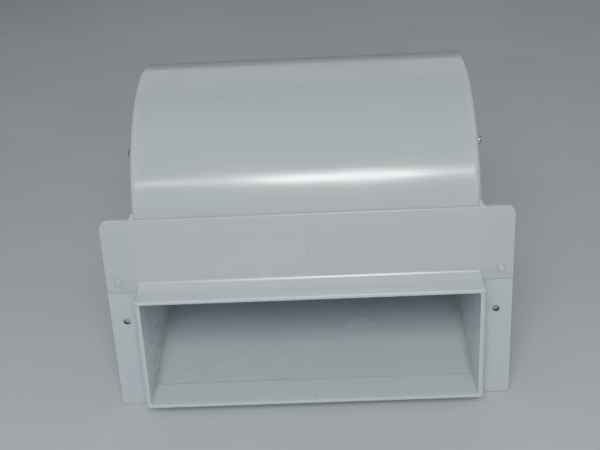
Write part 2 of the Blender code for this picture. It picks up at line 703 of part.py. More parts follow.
def impeller(axis, look):
    """Squirrel cage: a middle disc with its boss, two rims and a ring of blades."""
    half = WHEEL_LENGTH / 2
    thick = DISC_THICK / 2
    bore = HUB_R + GAP
    edge = WHEEL_R - DISC_DROP
    disc = turned([(-BOSS_LEFT, bore), (-BOSS_LEFT, BOSS_R), (-thick, BOSS_R + BOSS_FOOT_LEFT),
                   (-thick, edge), (thick, edge), (thick, BOSS_R + BOSS_FOOT_RIGHT),
                   (BOSS_RIGHT, BOSS_R), (BOSS_RIGHT, bore)], FINE)
    wheel = add_object("impeller", disc, axis, look)
    reach = half - BLADE_BITE
    blades = [along_x(blade_outline(360 / BLADE_COUNT * i), -reach, reach) for i in range(BLADE_COUNT)]
    rims = [tube(-half, -half + RIM_LENGTH, WHEEL_R, RIM_INNER_R, FINE),
            tube(half - RIM_LENGTH, half, WHEEL_R, RIM_INNER_R, FINE)]
    combine(wheel, "UNION", add_object("blades", merged(blades), axis),
            add_object("rims", merged(rims), axis))
    return wheel


def hub(axis, look):
    """The metal hub that clamps on the shaft with a grub screw."""
    bore = SHAFT_R + GAP
    sleeve = turned([(-HUB_LEFT, bore), (-HUB_LEFT, HUB_R - SHAFT_CHAMFER),
                     (-HUB_LEFT + SHAFT_CHAMFER, HUB_R), (HUB_RIGHT, HUB_R), (HUB_RIGHT, bore)], ROUND)
    made = add_object("impeller_hub", sleeve, axis, look)
    hole = along_z(circle(GRUB_R + GAP, COARSE, (-GRUB_X, 0)), 0, FAR / 4)
    hole = add_object("grub_hole", hole, axis)
    combine(made, "DIFFERENCE", hole)
    return made


def grub_screw(axis, look):
    """The set screw that bears on the shaft, with a hexagon socket."""
    length = HUB_R - SHAFT_R + GRUB_SOCKET
    socket = length - GRUB_SOCKET
    profile = [(0, 0), (0, GRUB_R * 0.6), (GRUB_R * 0.3, GRUB_R), (length, GRUB_R),
               (length, GRUB_R * 0.55), (socket, GRUB_R * 0.55), (socket, 0)]
    made = add_object("grub_screw", turned(profile, COARSE), axis, look)
    made.rotation_euler = (0, math.radians(-90), 0)
    made.location = (-GRUB_X, 0, SHAFT_R + GAP)
    return made


def shaft(axis, look):
    """The motor shaft, chamfered at both ends."""
    right = MOTOR_START + MOTOR_LENGTH + BUSH_LENGTH
    thin = SHAFT_R - SHAFT_CHAMFER
    profile = [(-SHAFT_LEFT, 0), (-SHAFT_LEFT, thin), (-SHAFT_LEFT + SHAFT_CHAMFER, SHAFT_R),
               (right - SHAFT_CHAMFER, SHAFT_R), (right, thin), (right, 0)]
    return add_object("motor_shaft", turned(profile, ROUND), axis, look)


# Motor

def stator_middle():
    """The x of the middle of the stator, rotor and windings."""
    return MOTOR_START + MOTOR_LENGTH / 2


def motor_rotor(axis, look):
    """The laminated rotor with its two end rings."""
    middle = stator_middle()
    half = STATOR_LENGTH / 2 + ROTOR_OVERHANG
    outer = STATOR_INNER_R - RUN_GAP
    bore = SHAFT_R + GAP
    ring = outer - ROTOR_RING_STEP
    end = half + ROTOR_RING_LENGTH
    foot = bore + 2 * BITE
    mouth = foot + MOUTH_SHARE * (ring - foot)
    profile = [(-end, mouth), (-end, ring), (-half, ring), (-half, outer), (half, outer),
               (half, ring), (end, ring), (end, mouth), (half, foot), (half, bore),
               (-half, bore), (-half, foot)]
    return add_object("motor_rotor", moved(turned(profile, ROUND), middle), axis, look)


def motor_stator(axis, look):
    """The laminated stator with its winding slots."""
    middle = stator_middle()
    half = STATOR_LENGTH / 2
    outer = MOTOR_R - CAN_WALL - GAP
    stack = add_object("motor_stator", tube(middle - half, middle + half, outer, STATOR_INNER_R),
                       axis, look)
    slots = []
    for i in range(STATOR_SLOTS):
        slot = box((middle - half - BITE, middle + half + BITE),
                   (STATOR_INNER_R - BITE, STATOR_INNER_R + SLOT_DEPTH),
                   (-SLOT_WIDTH / 2, SLOT_WIDTH / 2))
        turn = Matrix.Rotation(math.radians(360 / STATOR_SLOTS * (i + 0.5)), 3, "X")
        bmesh.ops.rotate(slot, verts=slot.verts, matrix=turn)
        slots.append(slot)
    combine(stack, "DIFFERENCE", add_object("stator_slots", merged(slots), axis))
    return stack


def winding(name, side, axis, look):
    """The wound coil heads at one end of the stator."""
    start = stator_middle() + side * (STATOR_LENGTH / 2 + GAP)
    inner = STATOR_INNER_R + WINDING_IN
    outer = MOTOR_R - CAN_WALL - WINDING_OUT
    middle = (inner + outer) / 2
    reach = (outer - inner) / 2
    head = arc((0, middle), reach, -90, 90, count=BEND_STEPS)
    profile = [(start + side * WINDING_DEPTH * (u / reach), v) for u, v in head]
    return add_object(name, turned(profile, ROUND), axis, look)


def motor_can(axis, look):
    """The deep-drawn can, open at the rear, with the front bush's seat."""
    start = MOTOR_START
    end = start + MOTOR_LENGTH
    seat = BUSH_R + GAP
    bend = CAN_BEND_R
    outer = arc((start + bend, MOTOR_R - bend), bend, 180, 90, count=CORNER)
    profile = [(start, seat), *outer, (end, MOTOR_R), (end, MOTOR_R - CAN_WALL),
               (start + bend, MOTOR_R - CAN_WALL), (start + CAN_WALL, MOTOR_R - bend),
               (start + CAN_WALL, seat)]
    return add_object("motor_can", turned(profile, FINE), axis, look)


def lead_place():
    """The y and z of the motor lead's way out, between two posts."""
    return polar(BOLT_CIRCLE_R + LEAD_OFFSET, 90 + 180 / ARM_COUNT)


def motor_end_cap(axis, look):
    """The cap that closes the can, with posts for the bolts and a seat for the rear bush."""
    start = MOTOR_START + MOTOR_LENGTH + GAP
    seat = BUSH_R + GAP
    profile = [(start, seat), (start, MOTOR_R), (start + CAP_THICK * 0.6, MOTOR_R),
               (start + CAP_THICK, MOTOR_R - CAP_THICK * 0.4), (start + CAP_THICK, seat)]
    cap = add_object("motor_end_cap", turned(profile, FINE), axis, look)
    top = start + CAP_THICK + POST_LENGTH
    posts = [moved(rod(start + BITE, top, POST_R, PLAIN), 0, y, z) for y, z in bolt_places()]
    holes = [moved(rod(start - BITE, top + BITE, MOTOR_SHANK_R + GAP), 0, y, z)
             for y, z in bolt_places()]
    y, z = lead_place()
    holes.append(moved(rod(start - BITE, top, LEAD_R + GAP), 0, y, z))
    combine(cap, "UNION", add_object("cap_posts", merged(posts), axis))
    combine(cap, "DIFFERENCE", add_object("cap_holes", merged(holes), axis))
    return cap


def bush(name, x, side, axis, look):
    """A flanged plain bearing; side is where its flange lies."""
    bore = SHAFT_R + GAP
    profile = [(-BUSH_FLANGE, bore), (-BUSH_FLANGE, BUSH_FLANGE_R), (0, BUSH_FLANGE_R), (0, BUSH_R),
               (BUSH_LENGTH, BUSH_R), (BUSH_LENGTH, bore)]
    profile = [(x - side * u, v) for u, v in profile]
    return add_object(name, turned(profile, ROUND), axis, look)


def lead_grommet(axis, look):
    """The small rubber grommet where the motor's lead would leave the cap."""
    start = MOTOR_START + MOTOR_LENGTH + GAP
    bore = LEAD_R * 0.5
    rim = LEAD_R + LEAD_RIM
    inside = start - GAP
    outside = start + CAP_THICK + GAP
    profile = [(inside - LEAD_RIM, bore), (inside - LEAD_RIM, rim), (inside, rim), (inside, LEAD_R),
               (outside, LEAD_R), (outside, rim), (outside + LEAD_RIM, rim - LEAD_RIM / 2),
               (outside + LEAD_RIM, bore)]
    y, z = lead_place()
    return add_object("motor_lead_grommet", moved(turned(profile, PLAIN), 0, y, z), axis, look)


def mount_grommet(name, place, axis, look):
    """A rubber spool that keeps the motor's hum out of the bracket."""
    low = spider_face() - GAP
    high = spider_face() + SPIDER_THICK + GAP
    bore = MOTOR_SHANK_R + GAP
    bottom = low - GROMMET_FLANGE
    top = high + GROMMET_FLANGE
    profile = [(bottom, bore), (bottom, GROMMET_FLANGE_R), (low, GROMMET_FLANGE_R),
               (low, GROMMET_R), (high, GROMMET_R), (high, GROMMET_FLANGE_R),
               (top, GROMMET_FLANGE_R), (top, bore)]
    return add_object(name, moved(turned(profile, PLAIN), 0, *place), axis, look)


def build():
    """Clears the scene and makes every piece."""
    for old in list(bpy.data.objects):
        bpy.data.objects.remove(old)

    white = material("milky_plastic", (0.78, 0.83, 0.85), 0.32)
    natural = material("inlet_plastic", (0.74, 0.79, 0.81), 0.4)
    wheel_look = material("impeller_plastic", (0.5, 0.52, 0.53), 0.45)
    steel = material("zinc_steel", (0.62, 0.62, 0.6), 0.35, 1.0)
    can_look = material("motor_steel", (0.5, 0.5, 0.5), 0.4, 1.0)
    iron = material("laminations", (0.25, 0.25, 0.27), 0.5, 1.0)
    copper = material("copper_wire", (0.72, 0.3, 0.12), 0.35, 1.0)
    bronze = material("sintered_bronze", (0.6, 0.42, 0.2), 0.5, 1.0)
    brass = material("brass_hub", (0.72, 0.55, 0.25), 0.35, 1.0)
    rubber = material("black_rubber", (0.02, 0.02, 0.02), 0.8)

    frame = empty("casing_frame", (0, 0, -SEAT_HEIGHT))
    axis = empty("motor_frame", (0, AXIS_Y, AXIS_HEIGHT), frame)
    spin = empty("wheel_axis", (0, 0, 0), axis)

    cavity, inlets = casing_tools(frame)
    upper_shell(frame, white, cavity, inlets)
    lower_shell(frame, white, cavity, inlets)
    peg("ear_peg_left", -1, frame, white)
    peg("ear_peg_right", 1, frame, white)
    lug_top = SHELF + BELT_ABOVE + GAP + LUG_THICK + GAP
    for side, word in ((-1, "left"), (1, "right")):
        screw(f"rear_screw_{word}", REAR_SHANK_R, SMALL_HEAD_R, REAR_LENGTH, frame, steel,
              (side * LUG_X, SCROLL_Y + LUG_REACH, lug_top), (0, math.radians(-90), 0))

    inlet_ring(axis, natural)
    motor_bracket(axis, natural)
    head_x = CASING_WIDTH / 2 + GAP + RING_THICK + GAP
    for side, word, turn in ((-1, "left", 180), (1, "right", 0)):
        for number, degrees in enumerate(ring_screw_angles(), 1):
            screw(f"ring_screw_{word}_{number}", SMALL_SHANK_R, SMALL_HEAD_R, SMALL_LENGTH, axis, steel,
                  (side * head_x, *polar(RING_SCREW_R, degrees)), (0, 0, math.radians(turn)))

    impeller(spin, wheel_look)
    hub(spin, brass)
    grub_screw(spin, steel)
    shaft(spin, steel)
    motor_rotor(spin, iron)

    motor_stator(axis, iron)
    winding("winding_front", -1, axis, copper)
    winding("winding_rear", 1, axis, copper)
    motor_can(axis, can_look)
    motor_end_cap(axis, can_look)
    bush("bush_front", MOTOR_START - GAP, -1, axis, bronze)
    bush("bush_rear", MOTOR_START + MOTOR_LENGTH + GAP + CAP_THICK + GAP, 1, axis, bronze)
    lead_grommet(axis, rubber)
    bolt_x = spider_face() + SPIDER_THICK + 2 * GAP + GROMMET_FLANGE
    bolt_length = bolt_x - (MOTOR_START + MOTOR_LENGTH + 2 * GAP)
    for number, place in enumerate(bolt_places(), 1):
        mount_grommet(f"mount_grommet_{number}", place, axis, rubber)
        screw(f"motor_screw_{number}", MOTOR_SHANK_R, MOTOR_HEAD_R, bolt_length, axis, steel,
              (bolt_x, *place), (0, 0, 0))


build()
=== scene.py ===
# %% [markdown]
# # A roof-vent blower in a milky scroll casing
# The blower is two pieces of white moulded plastic screwed together round a squirrel-cage wheel. The
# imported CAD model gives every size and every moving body. This script keeps those, and gives each piece
# the round edges, the screws' recesses and the finishes that the plain solids leave out.

import math

import bmesh
import bpy
from mathutils import Matrix, Vector


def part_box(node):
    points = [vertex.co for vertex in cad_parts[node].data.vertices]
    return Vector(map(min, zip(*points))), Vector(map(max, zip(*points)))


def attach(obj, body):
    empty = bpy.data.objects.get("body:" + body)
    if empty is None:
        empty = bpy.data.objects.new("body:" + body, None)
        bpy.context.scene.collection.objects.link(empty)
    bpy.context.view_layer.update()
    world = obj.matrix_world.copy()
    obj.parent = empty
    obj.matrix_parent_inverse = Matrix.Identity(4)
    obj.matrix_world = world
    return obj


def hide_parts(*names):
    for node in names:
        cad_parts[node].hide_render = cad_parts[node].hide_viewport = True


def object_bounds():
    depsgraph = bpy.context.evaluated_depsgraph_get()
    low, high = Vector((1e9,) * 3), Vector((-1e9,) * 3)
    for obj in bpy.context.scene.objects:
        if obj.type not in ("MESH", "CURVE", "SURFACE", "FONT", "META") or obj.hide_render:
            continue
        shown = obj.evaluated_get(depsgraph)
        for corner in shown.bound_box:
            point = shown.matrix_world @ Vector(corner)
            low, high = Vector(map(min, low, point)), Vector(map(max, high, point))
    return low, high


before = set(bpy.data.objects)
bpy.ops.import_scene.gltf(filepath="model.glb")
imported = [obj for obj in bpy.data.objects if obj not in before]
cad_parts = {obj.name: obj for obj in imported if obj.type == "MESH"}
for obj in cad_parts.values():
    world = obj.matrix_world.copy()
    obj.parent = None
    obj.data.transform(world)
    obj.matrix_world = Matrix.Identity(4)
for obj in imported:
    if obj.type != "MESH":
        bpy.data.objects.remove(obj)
cad_low, cad_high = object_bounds()
print("CAD size in mm:", [round(v * 1000, 1) for v in cad_high - cad_low])

# %% [markdown]
# ## The sizes of the casing
# All heights on the casing count from the bottom edge of its flange, as a maker would measure it
# standing on a bench. The model's own zero lies higher, in the middle of the flange's top strip, so one
# number moves between them.

# %% Casing sizes
MM = 0.001
GAP = 0.3 * MM
seat = -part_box("lower_shell")[0].z
flange_half = 125.0 * MM
flange_top = 130.6 * MM
flange_thick = 3.2 * MM
front_layer = 1.5 * MM
collar_half = 105.4 * MM
collar_depth = 18.4 * MM
collar_low = 8.6 * MM
outlet_top = 82.6 * MM
bend_r = 8.0 * MM
drum_half = 105.0 * MM
wall = 2.2 * MM
scroll_r = 89.0 * MM
scroll_y = 88.1 * MM
scroll_high = 109.9 * MM
ramp_start = 5.0 * MM
shelf = outlet_top - 0.6 * MM
upper_edge = shelf + GAP
belt = 2.2 * MM
lug_x = 70.0 * MM
lug_y = scroll_y + 92.6 * MM
peg_place = (117.3 * MM, 89.3 * MM)
peg_hole_r = 1.9 * MM
ear_hole = (115.2 * MM, 61.5 * MM)
ear_hole_r = 2.25 * MM
axis_y = 82.0 * MM
axis_high = 116.0 * MM
FAR = 0.4
print("flange bottom is", round(seat / MM, 1), "mm below the model's zero")

# %% [markdown]
# ## Outlines and lofts
# A moulded shell is easiest to make from its side view: a closed line of points, drawn out along one
# axis. Blender's bevel could round the ends afterwards, but it stumbles on long curves, so each prism
# is lofted here from several copies of its own outline, each a little smaller towards the end. That
# gives clean rows of quads, and the light then runs smoothly over the rounded edge.

# %% Arcs and the scroll's side view
def arc(centre, radius, start, end, count):
    """Points on an arc, angles in degrees, both ends included."""
    turns = [math.radians(start + (end - start) * i / count) for i in range(count + 1)]
    return [(centre[0] + radius * math.cos(a), centre[1] + radius * math.sin(a)) for a in turns]


drop = scroll_high - collar_low - wall
ramp = (math.atan2(drop, scroll_y - ramp_start)
        - math.asin((scroll_r - wall) / math.hypot(scroll_y - ramp_start, drop)))


def scroll_line(offset, count=130):
    """The casing's side view, moved outwards by offset: ramp, wrapper and front."""
    line = arc((scroll_y, scroll_high), scroll_r + offset, math.degrees(ramp) - 90, 180, count)
    front = line[-1][0]
    return [(front, line[0][1] - (line[0][0] - front) * math.tan(ramp)), *line]


def round_rectangle(left, right, low, high, low_r, high_r, count=8):
    """A rectangle with one radius below and one above."""
    return (arc((left + low_r, low + low_r), low_r, 180, 270, count)
            + arc((right - low_r, low + low_r), low_r, 270, 360, count)
            + arc((right - high_r, high - high_r), high_r, 0, 90, count)
            + arc((left + high_r, high - high_r), high_r, 90, 180, count))


print("the ramp climbs at", round(math.degrees(ramp), 1), "degrees")


# %% Lofts with rounded ends
def loft(rings):
    """A closed solid through rings that have the same number of points."""
    bm = bmesh.new()
    made = [[bm.verts.new(p) for p in ring] for ring in rings]
    count = len(made[0])
    for near, far in zip(made, made[1:]):
        for i in range(count):
            j = (i + 1) % count
            bm.faces.new((near[i], near[j], far[j], far[i]))
    bm.faces.new(made[0])
    bm.faces.new(made[-1])
    return bm


def ends(low, high, low_r, high_r, steps):
    """Depths and insets of the rings of a prism whose two ends are rounded."""
    rows = []
    for k in range(steps + 1 if low_r else 1):
        turn = math.radians(90 * k / steps)
        rows.append((low + low_r * (1 - math.cos(turn)), low_r * (1 - math.sin(turn))))
    for k in reversed(range(steps + 1 if high_r else 1)):
        turn = math.radians(90 * k / steps)
        rows.append((high - high_r * (1 - math.cos(turn)), high_r * (1 - math.sin(turn))))
    return rows


def along_x(line_at, low, high, low_r=0.0, high_r=0.0, steps=6):
    """A prism along X. line_at(inset) gives the outline in Y and height, moved inwards by inset."""
    return loft([[(x, u, v - seat) for u, v in line_at(inset)]
                 for x, inset in ends(low, high, low_r, high_r, steps)])


def along_y(line_at, low, high, low_r=0.0, high_r=0.0, steps=4):
    """A prism along Y, from an outline in X and height."""
    return loft([[(u, y, v - seat) for u, v in line_at(inset)]
                 for y, inset in ends(low, high, low_r, high_r, steps)])


def along_z(line_at, low, high, low_r=0.0, high_r=0.0, steps=4):
    """An upright prism, from an outline in X and Y."""
    return loft([[(u, v, z - seat) for u, v in line_at(inset)]
                 for z, inset in ends(low, high, low_r, high_r, steps)])


def box(x, y, z):
    """A closed box between pairs of limits, its heights from the flange's bottom."""
    return along_x(lambda inset: [(y[0], z[0]), (y[1], z[0]), (y[1], z[1]), (y[0], z[1])], *x)


def disc(radius, centre=(0.0, 0.0), count=32):
    """An outline function for a round rod or hole."""
    return lambda inset: arc(centre, radius - inset, 0, 360, count)[:-1]


# %% [markdown]
# ## From loose solids to one moulding
# Real shells are one piece of plastic, so the lofts are joined and cut with exact Booleans and the
# result is applied at once. A weighted-normal pass then keeps the big flat faces flat while the narrow
# rounds between them shade softly, which is what a polished mould gives.

# %% Solids, Booleans and shading
def solid(name, bm, look=None):
    """An object from a bmesh, with its faces pointing out."""
    bmesh.ops.recalc_face_normals(bm, faces=bm.faces)
    mesh = bpy.data.meshes.new(name)
    bm.to_mesh(mesh)
    bm.free()
    made = bpy.data.objects.new(name, mesh)
    bpy.context.scene.collection.objects.link(made)
    if look:
        mesh.materials.append(look)
    return made


def several(bms):
    """One bmesh that holds several separate solids."""
    whole = bmesh.new()
    for bm in bms:
        bmesh.ops.recalc_face_normals(bm, faces=bm.faces)
        mesh = bpy.data.meshes.new("loose")
        bm.to_mesh(mesh)
        bm.free()
        whole.from_mesh(mesh)
        bpy.data.meshes.remove(mesh)
    return whole


def applied(target):
    """Bakes the target's modifiers into its mesh."""
    shape = bpy.data.meshes.new_from_object(target.evaluated_get(bpy.context.evaluated_depsgraph_get()))
    target.modifiers.clear()
    target.data = shape
    return target


def shaped(target, *steps):
    """Joins, cuts or trims the target with (operation, bmesh) pairs, in order."""
    for operation, bm in steps:
        tool = solid("tool", bm)
        step = target.modifiers.new(operation, "BOOLEAN")
        step.operation = operation
        step.object = tool
        applied(target)
        bpy.data.objects.remove(tool)
    return target


def softened(target, degrees=35):
    """Smooth shading that leaves flat faces flat and real edges sharp."""
    mesh = target.data
    mesh.shade_smooth()
    mesh.set_sharp_from_angle(angle=math.radians(degrees))
    step = target.modifiers.new("even shading", "WEIGHTED_NORMAL")
    step.keep_sharp = True
    return applied(target)


def dress(piece, body, slot, *nodes):
    """Puts a piece on its body in place of the CAD nodes it stands for."""
    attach(piece, body)
    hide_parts(*nodes)
    print(piece.name, len(piece.data.polygons), "faces")
    return piece


# %% [markdown]
# ## Milky plastic
# The casing is natural polypropylene, white. Its colour carries painted light: slightly blue where light
# passes through a thin wall, a touch of tan where two layers lie behind each other, paler drum ends and
# outlet, and painted shade in the screw holes. A Principled shader with subsurface scattering gives the
# depth. Position on the moulding mixes the tints, and fine noise in the bump gives the skin of the mould and
# its few sink marks.

# %% Node helpers
def look(name, roughness, metallic=0.0, **more):
    """A Principled material. Returns the material, its tree and its shader."""
    made = bpy.data.materials.new(name)
    made.use_nodes = True
    shader = made.node_tree.nodes["Principled BSDF"]
    shader.inputs["Roughness"].default_value = roughness
    shader.inputs["Metallic"].default_value = metallic
    for key, value in more.items():
        shader.inputs[key.replace("_", " ")].default_value = value
    return made, made.node_tree, shader


def add(tree, kind, inputs=(), **settings):
    """A node with its settings and its inputs: numbers are set, sockets are linked."""
    made = tree.nodes.new(kind)
    for key, value in settings.items():
        setattr(made, key, value)
    for key, value in dict(inputs).items():
        if isinstance(value, bpy.types.NodeSocket):
            tree.links.new(value, made.inputs[key])
        else:
            made.inputs[key].default_value = value
    return made


def place(tree):
    """The point on the object, in metres."""
    return add(tree, "ShaderNodeTexCoord").outputs["Object"]


def noise(tree, point, scale, detail=2.0, rough=0.5):
    return add(tree, "ShaderNodeTexNoise", {"Vector": point, "Scale": scale, "Detail": detail,
                                            "Roughness": rough}).outputs["Fac"]


def spread(tree, value, low, high, to_low=0.0, to_high=1.0):
    """Maps a range of a value softly on to another range."""
    return add(tree, "ShaderNodeMapRange", {"Value": value, "From Min": low, "From Max": high,
                                            "To Min": to_low, "To Max": to_high},
               interpolation_type="SMOOTHSTEP").outputs["Result"]


def maths(tree, operation, a, b=0.0):
    return add(tree, "ShaderNodeMath", {0: a, 1: b}, operation=operation).outputs[0]


def mix(tree, share, a, b):
    """A colour between a and b."""
    made = add(tree, "ShaderNodeMix", {"Factor": share}, data_type="RGBA")
    for socket, value in zip([s for s in made.inputs if s.type == "RGBA"], (a, b)):
        if isinstance(value, bpy.types.NodeSocket):
            tree.links.new(value, socket)
        else:
            socket.default_value = (*value, 1.0)
    return [s for s in made.outputs if s.type == "RGBA"][0]


def bumps(tree, shader, *layers):
    """Stacks bump layers of (height, depth in metres) on the shader's normal."""
    normal = None
    for height, depth in layers:
        step = add(tree, "ShaderNodeBump", {"Height": height, "Distance": depth, "Strength": 1.0})
        if normal:
            tree.links.new(normal, step.inputs["Normal"])
        normal = step.outputs["Normal"]
    tree.links.new(normal, shader.inputs["Normal"])


# %% The milky plastic itself
def line_at(tree, value, centre, half):
    """One inside a thin band round a value, fading to nothing at its edges."""
    away = maths(tree, "ABSOLUTE", maths(tree, "SUBTRACT", value, centre))
    return spread(tree, away, half, half * 0.35)


def stretched(tree, point, by):
    """The point with each axis multiplied, so that a pattern runs out along the others."""
    return add(tree, "ShaderNodeVectorMath", {0: point, 1: by}, operation="MULTIPLY").outputs[0]


def milky(name, cool, warm, thin, roughness):
    made, tree, shader = look(name, roughness, Subsurface_Weight=0.9, IOR=1.5)
    shader.subsurface_method = "RANDOM_WALK"
    shader.inputs["Subsurface Radius"].default_value = (1.0, 1.0, 1.0)
    shader.inputs["Subsurface Scale"].default_value = 7.0 * MM
    point = place(tree)
    parts = add(tree, "ShaderNodeSeparateXYZ", {"Vector": point}).outputs
    reach = maths(tree, "ABSOLUTE", parts["X"])

    # painted light: the front strip, two layers thick, is mixed to a tan tint that stands in for the light
    # passing through both layers; the ears fade into it
    front = spread(tree, parts["Y"], 3.4 * MM, 2.2 * MM)
    above = spread(tree, parts["Z"], upper_edge - seat - 2 * MM, upper_edge - seat + 14 * MM)
    middle = spread(tree, reach, drum_half + 8 * MM, drum_half - 14 * MM, 0.45, 1.0)
    two_layer_painted_light = maths(tree, "MULTIPLY", maths(tree, "MULTIPLY", front, above), middle)
    cloud = noise(tree, point, 14.0, 4.0)
    share = maths(tree, "MULTIPLY", two_layer_painted_light, spread(tree, cloud, 0.2, 0.8, 0.7, 1.0))
    colour = mix(tree, share, cool, warm)

    # painted light: the outlet's inside and the lip over it are mixed to a paler colour that stands in for
    # the light they catch from both sides
    outlet_painted_light = maths(tree, "MULTIPLY", spread(tree, reach, 104.2 * MM, 103.0 * MM),
                   spread(tree, parts["Z"], outlet_top - seat + 1 * MM, outlet_top - seat))
    outlet_painted_light = maths(tree, "MULTIPLY", outlet_painted_light, spread(tree, parts["Z"], 9.6 * MM - seat, 10.6 * MM - seat))
    lip_painted_light = maths(tree, "MULTIPLY", spread(tree, parts["Y"], 0.0, -3 * MM),
                      spread(tree, parts["Z"], outlet_top - seat, outlet_top - seat + 2 * MM))
    colour = mix(tree, maths(tree, "MAXIMUM", outlet_painted_light, lip_painted_light), colour, (0.51, 0.57, 0.595))

    # painted light: the drum's last millimetres at each end are mixed to the paler tint, standing in for
    # light let through from inside
    rim = spread(tree, reach, drum_half - 9 * MM, drum_half - 1 * MM, 0.0, 0.85)
    rim = maths(tree, "MULTIPLY", rim, spread(tree, parts["Y"], 1 * MM, 6 * MM))
    colour = mix(tree, rim, colour, thin)

    # slow cloudiness of the melt, streaked along the flow
    streak = stretched(tree, point, (0.35, 1.0, 1.0))
    flow = spread(tree, noise(tree, streak, 26.0, 4.0, 0.6), 0.25, 0.8, 0.0, 0.30)
    colour = mix(tree, flow, colour, thin)
    speck = add(tree, "ShaderNodeTexVoronoi", {"Vector": point, "Scale": 45.0}).outputs["Distance"]
    colour = mix(tree, spread(tree, speck, 0.030, 0.012, 0.0, 0.55), colour, (0.09, 0.10, 0.11))

    # painted shade: the bores of the two screw holes are darkened to near black, standing in for the shade
    # inside them
    aside = maths(tree, "SUBTRACT", reach, ear_hole[0])
    over = maths(tree, "SUBTRACT", parts["Z"], ear_hole[1] - seat)
    off = maths(tree, "SQRT", maths(tree, "ADD", maths(tree, "MULTIPLY", aside, aside),
                                   maths(tree, "MULTIPLY", over, over)))
    hole_painted_shade = maths(tree, "MULTIPLY", spread(tree, off, 3.0 * MM, 2.3 * MM),
                 spread(tree, parts["Y"], -0.1 * MM, 0.5 * MM))
    colour = mix(tree, hole_painted_shade, colour, (0.03, 0.05, 0.065))
    tree.links.new(colour, shader.inputs["Base Color"])

    # rubbed patches are duller than the moulded gloss
    polish = noise(tree, streak, 40.0, 4.0)
    rubbed = spread(tree, noise(tree, point, 9.0, 3.0), 0.45, 0.75, 0.0, 0.10)
    gloss = spread(tree, polish, 0.3, 0.75, roughness - 0.03, roughness + 0.05)
    tree.links.new(maths(tree, "ADD", gloss, rubbed), shader.inputs["Roughness"])

    # the mould's halves meet in a fine upright line on the strip, and in faint lines along the drum
    witness = maths(tree, "MULTIPLY", line_at(tree, parts["X"], 0.4 * MM, 0.45 * MM),
                    spread(tree, parts["Y"], 3.4 * MM, 2.2 * MM))
    around = add(tree, "ShaderNodeMath", {0: maths(tree, "SUBTRACT", parts["Z"], scroll_high - seat),
                                          1: maths(tree, "SUBTRACT", parts["Y"], scroll_y)},
                 operation="ARCTAN2").outputs[0]
    across = maths(tree, "ADD", line_at(tree, around, math.radians(mould_lines[0]), 0.006),
                   line_at(tree, around, math.radians(mould_lines[1]), 0.005))
    across = maths(tree, "MULTIPLY", across, spread(tree, parts["Y"], 3.4 * MM, 6 * MM))
    scuffs = spread(tree, noise(tree, stretched(tree, point, (0.25, 6.0, 1.6)), 60.0, 3.0, 0.7), 0.64, 0.70)
    low = line_at(tree, parts["Y"], ramp_start, 0.9 * MM)
    crease = maths(tree, "MULTIPLY", low, spread(tree, parts["Z"], -seat + 14 * MM, -seat + 12 * MM))
    bumps(tree, shader, (noise(tree, streak, 16.0, 1.0), 0.22 * MM), (witness, 0.16 * MM),
          (across, 0.05 * MM), (crease, 0.20 * MM), (scuffs, 0.004 * MM),
          (noise(tree, point, 700.0, 2.0), 0.005 * MM))
    return made


mould_lines = (118.0, 150.0)
casing_look = milky("milky_casing", (0.435, 0.49, 0.515), (0.46, 0.475, 0.47), (0.515, 0.53, 0.52), 0.17)
ring_look = milky("milky_ring", (0.46, 0.50, 0.515), (0.47, 0.49, 0.49), (0.52, 0.535, 0.53), 0.34)
print("materials:", casing_look.name, ring_look.name)

# %% [markdown]
# ## The casing's air path
# Both shells wrap the same hollow: the outlet's floor, the ramp, the big curve of the scroll, and the
# bend that turns down into the outlet's lip. It is made once as a cutter, so the two shells always
# match.

# %% The hollow and the inlet bores
def air_path():
    floor = collar_low + wall
    inner = scroll_r - wall
    front = math.degrees(math.acos((wall - scroll_y) / inner))
    curve = arc((scroll_y, scroll_high), inner, math.degrees(ramp) - 90, front, 120)
    bend = arc((-bend_r, outlet_top + wall + bend_r), bend_r + wall, 0, -90, 14)
    line = [(-FAR, floor), (ramp_start, floor), *curve, *bend, (-FAR, outlet_top)]
    hollow = solid("hollow", along_x(lambda inset: line, wall - drum_half, drum_half - wall))
    step = hollow.modifiers.new("inner rounds", "BEVEL")
    step.width = 1.5 * MM
    step.segments = 4
    step.limit_method = "ANGLE"
    step.angle_limit = math.radians(50)
    applied(hollow)
    bm = bmesh.new()
    bm.from_mesh(hollow.data)
    bpy.data.objects.remove(hollow)
    return bm


def turned(profile, count=96):
    """A solid turned about the shaft, from a closed line of (x, radius) points."""
    rings = [[(x, axis_y + radius * math.cos(math.tau * i / count),
               axis_high - seat + radius * math.sin(math.tau * i / count)) for i in range(count)]
             for x, radius in profile]
    bm = bmesh.new()
    made = [[bm.verts.new(p) for p in ring] for ring in rings]
    for near, far in zip(made, made[1:] + made[:1]):
        for i in range(count):
            j = (i + 1) % count
            bm.faces.new((near[i], near[j], far[j], far[i]))
    bmesh.ops.remove_doubles(bm, verts=bm.verts, dist=1e-7)
    return bm


def polar(radius, degrees):
    """Y and height of a point round the shaft, from +Y towards up."""
    return (axis_y + radius * math.cos(math.radians(degrees)),
            axis_high + radius * math.sin(math.radians(degrees)))


def inlet_bores():
    return along_x(disc(53.5 * MM, (axis_y, axis_high), 96), -FAR, FAR)


def rods_x(places, radius, spans, count=24):
    """Rods along X at (y, height) places, one for each span."""
    return several([along_x(disc(radius, place, count), *span) for place in places for span in spans])


ring_angles = [45, 135, 225, 315]
ring_screw_r = 60.0 * MM
boss_spans = [(-drum_half + 1.1 * MM, -96.3 * MM), (96.3 * MM, drum_half - 1.1 * MM)]
hole_spans = [(-FAR, -94 * MM), (94 * MM, FAR)]

# %% [markdown]
# ## The upper shell
# It is the drum, the top strip of the flange with the front layer of both ears, and the lip over the
# outlet. The strip meets the lip in a concave bend, and its top edge rolls over on to the drum. The
# ears meet the drum's ends in small hollow corners, so that the mould has no sharp inside corner.

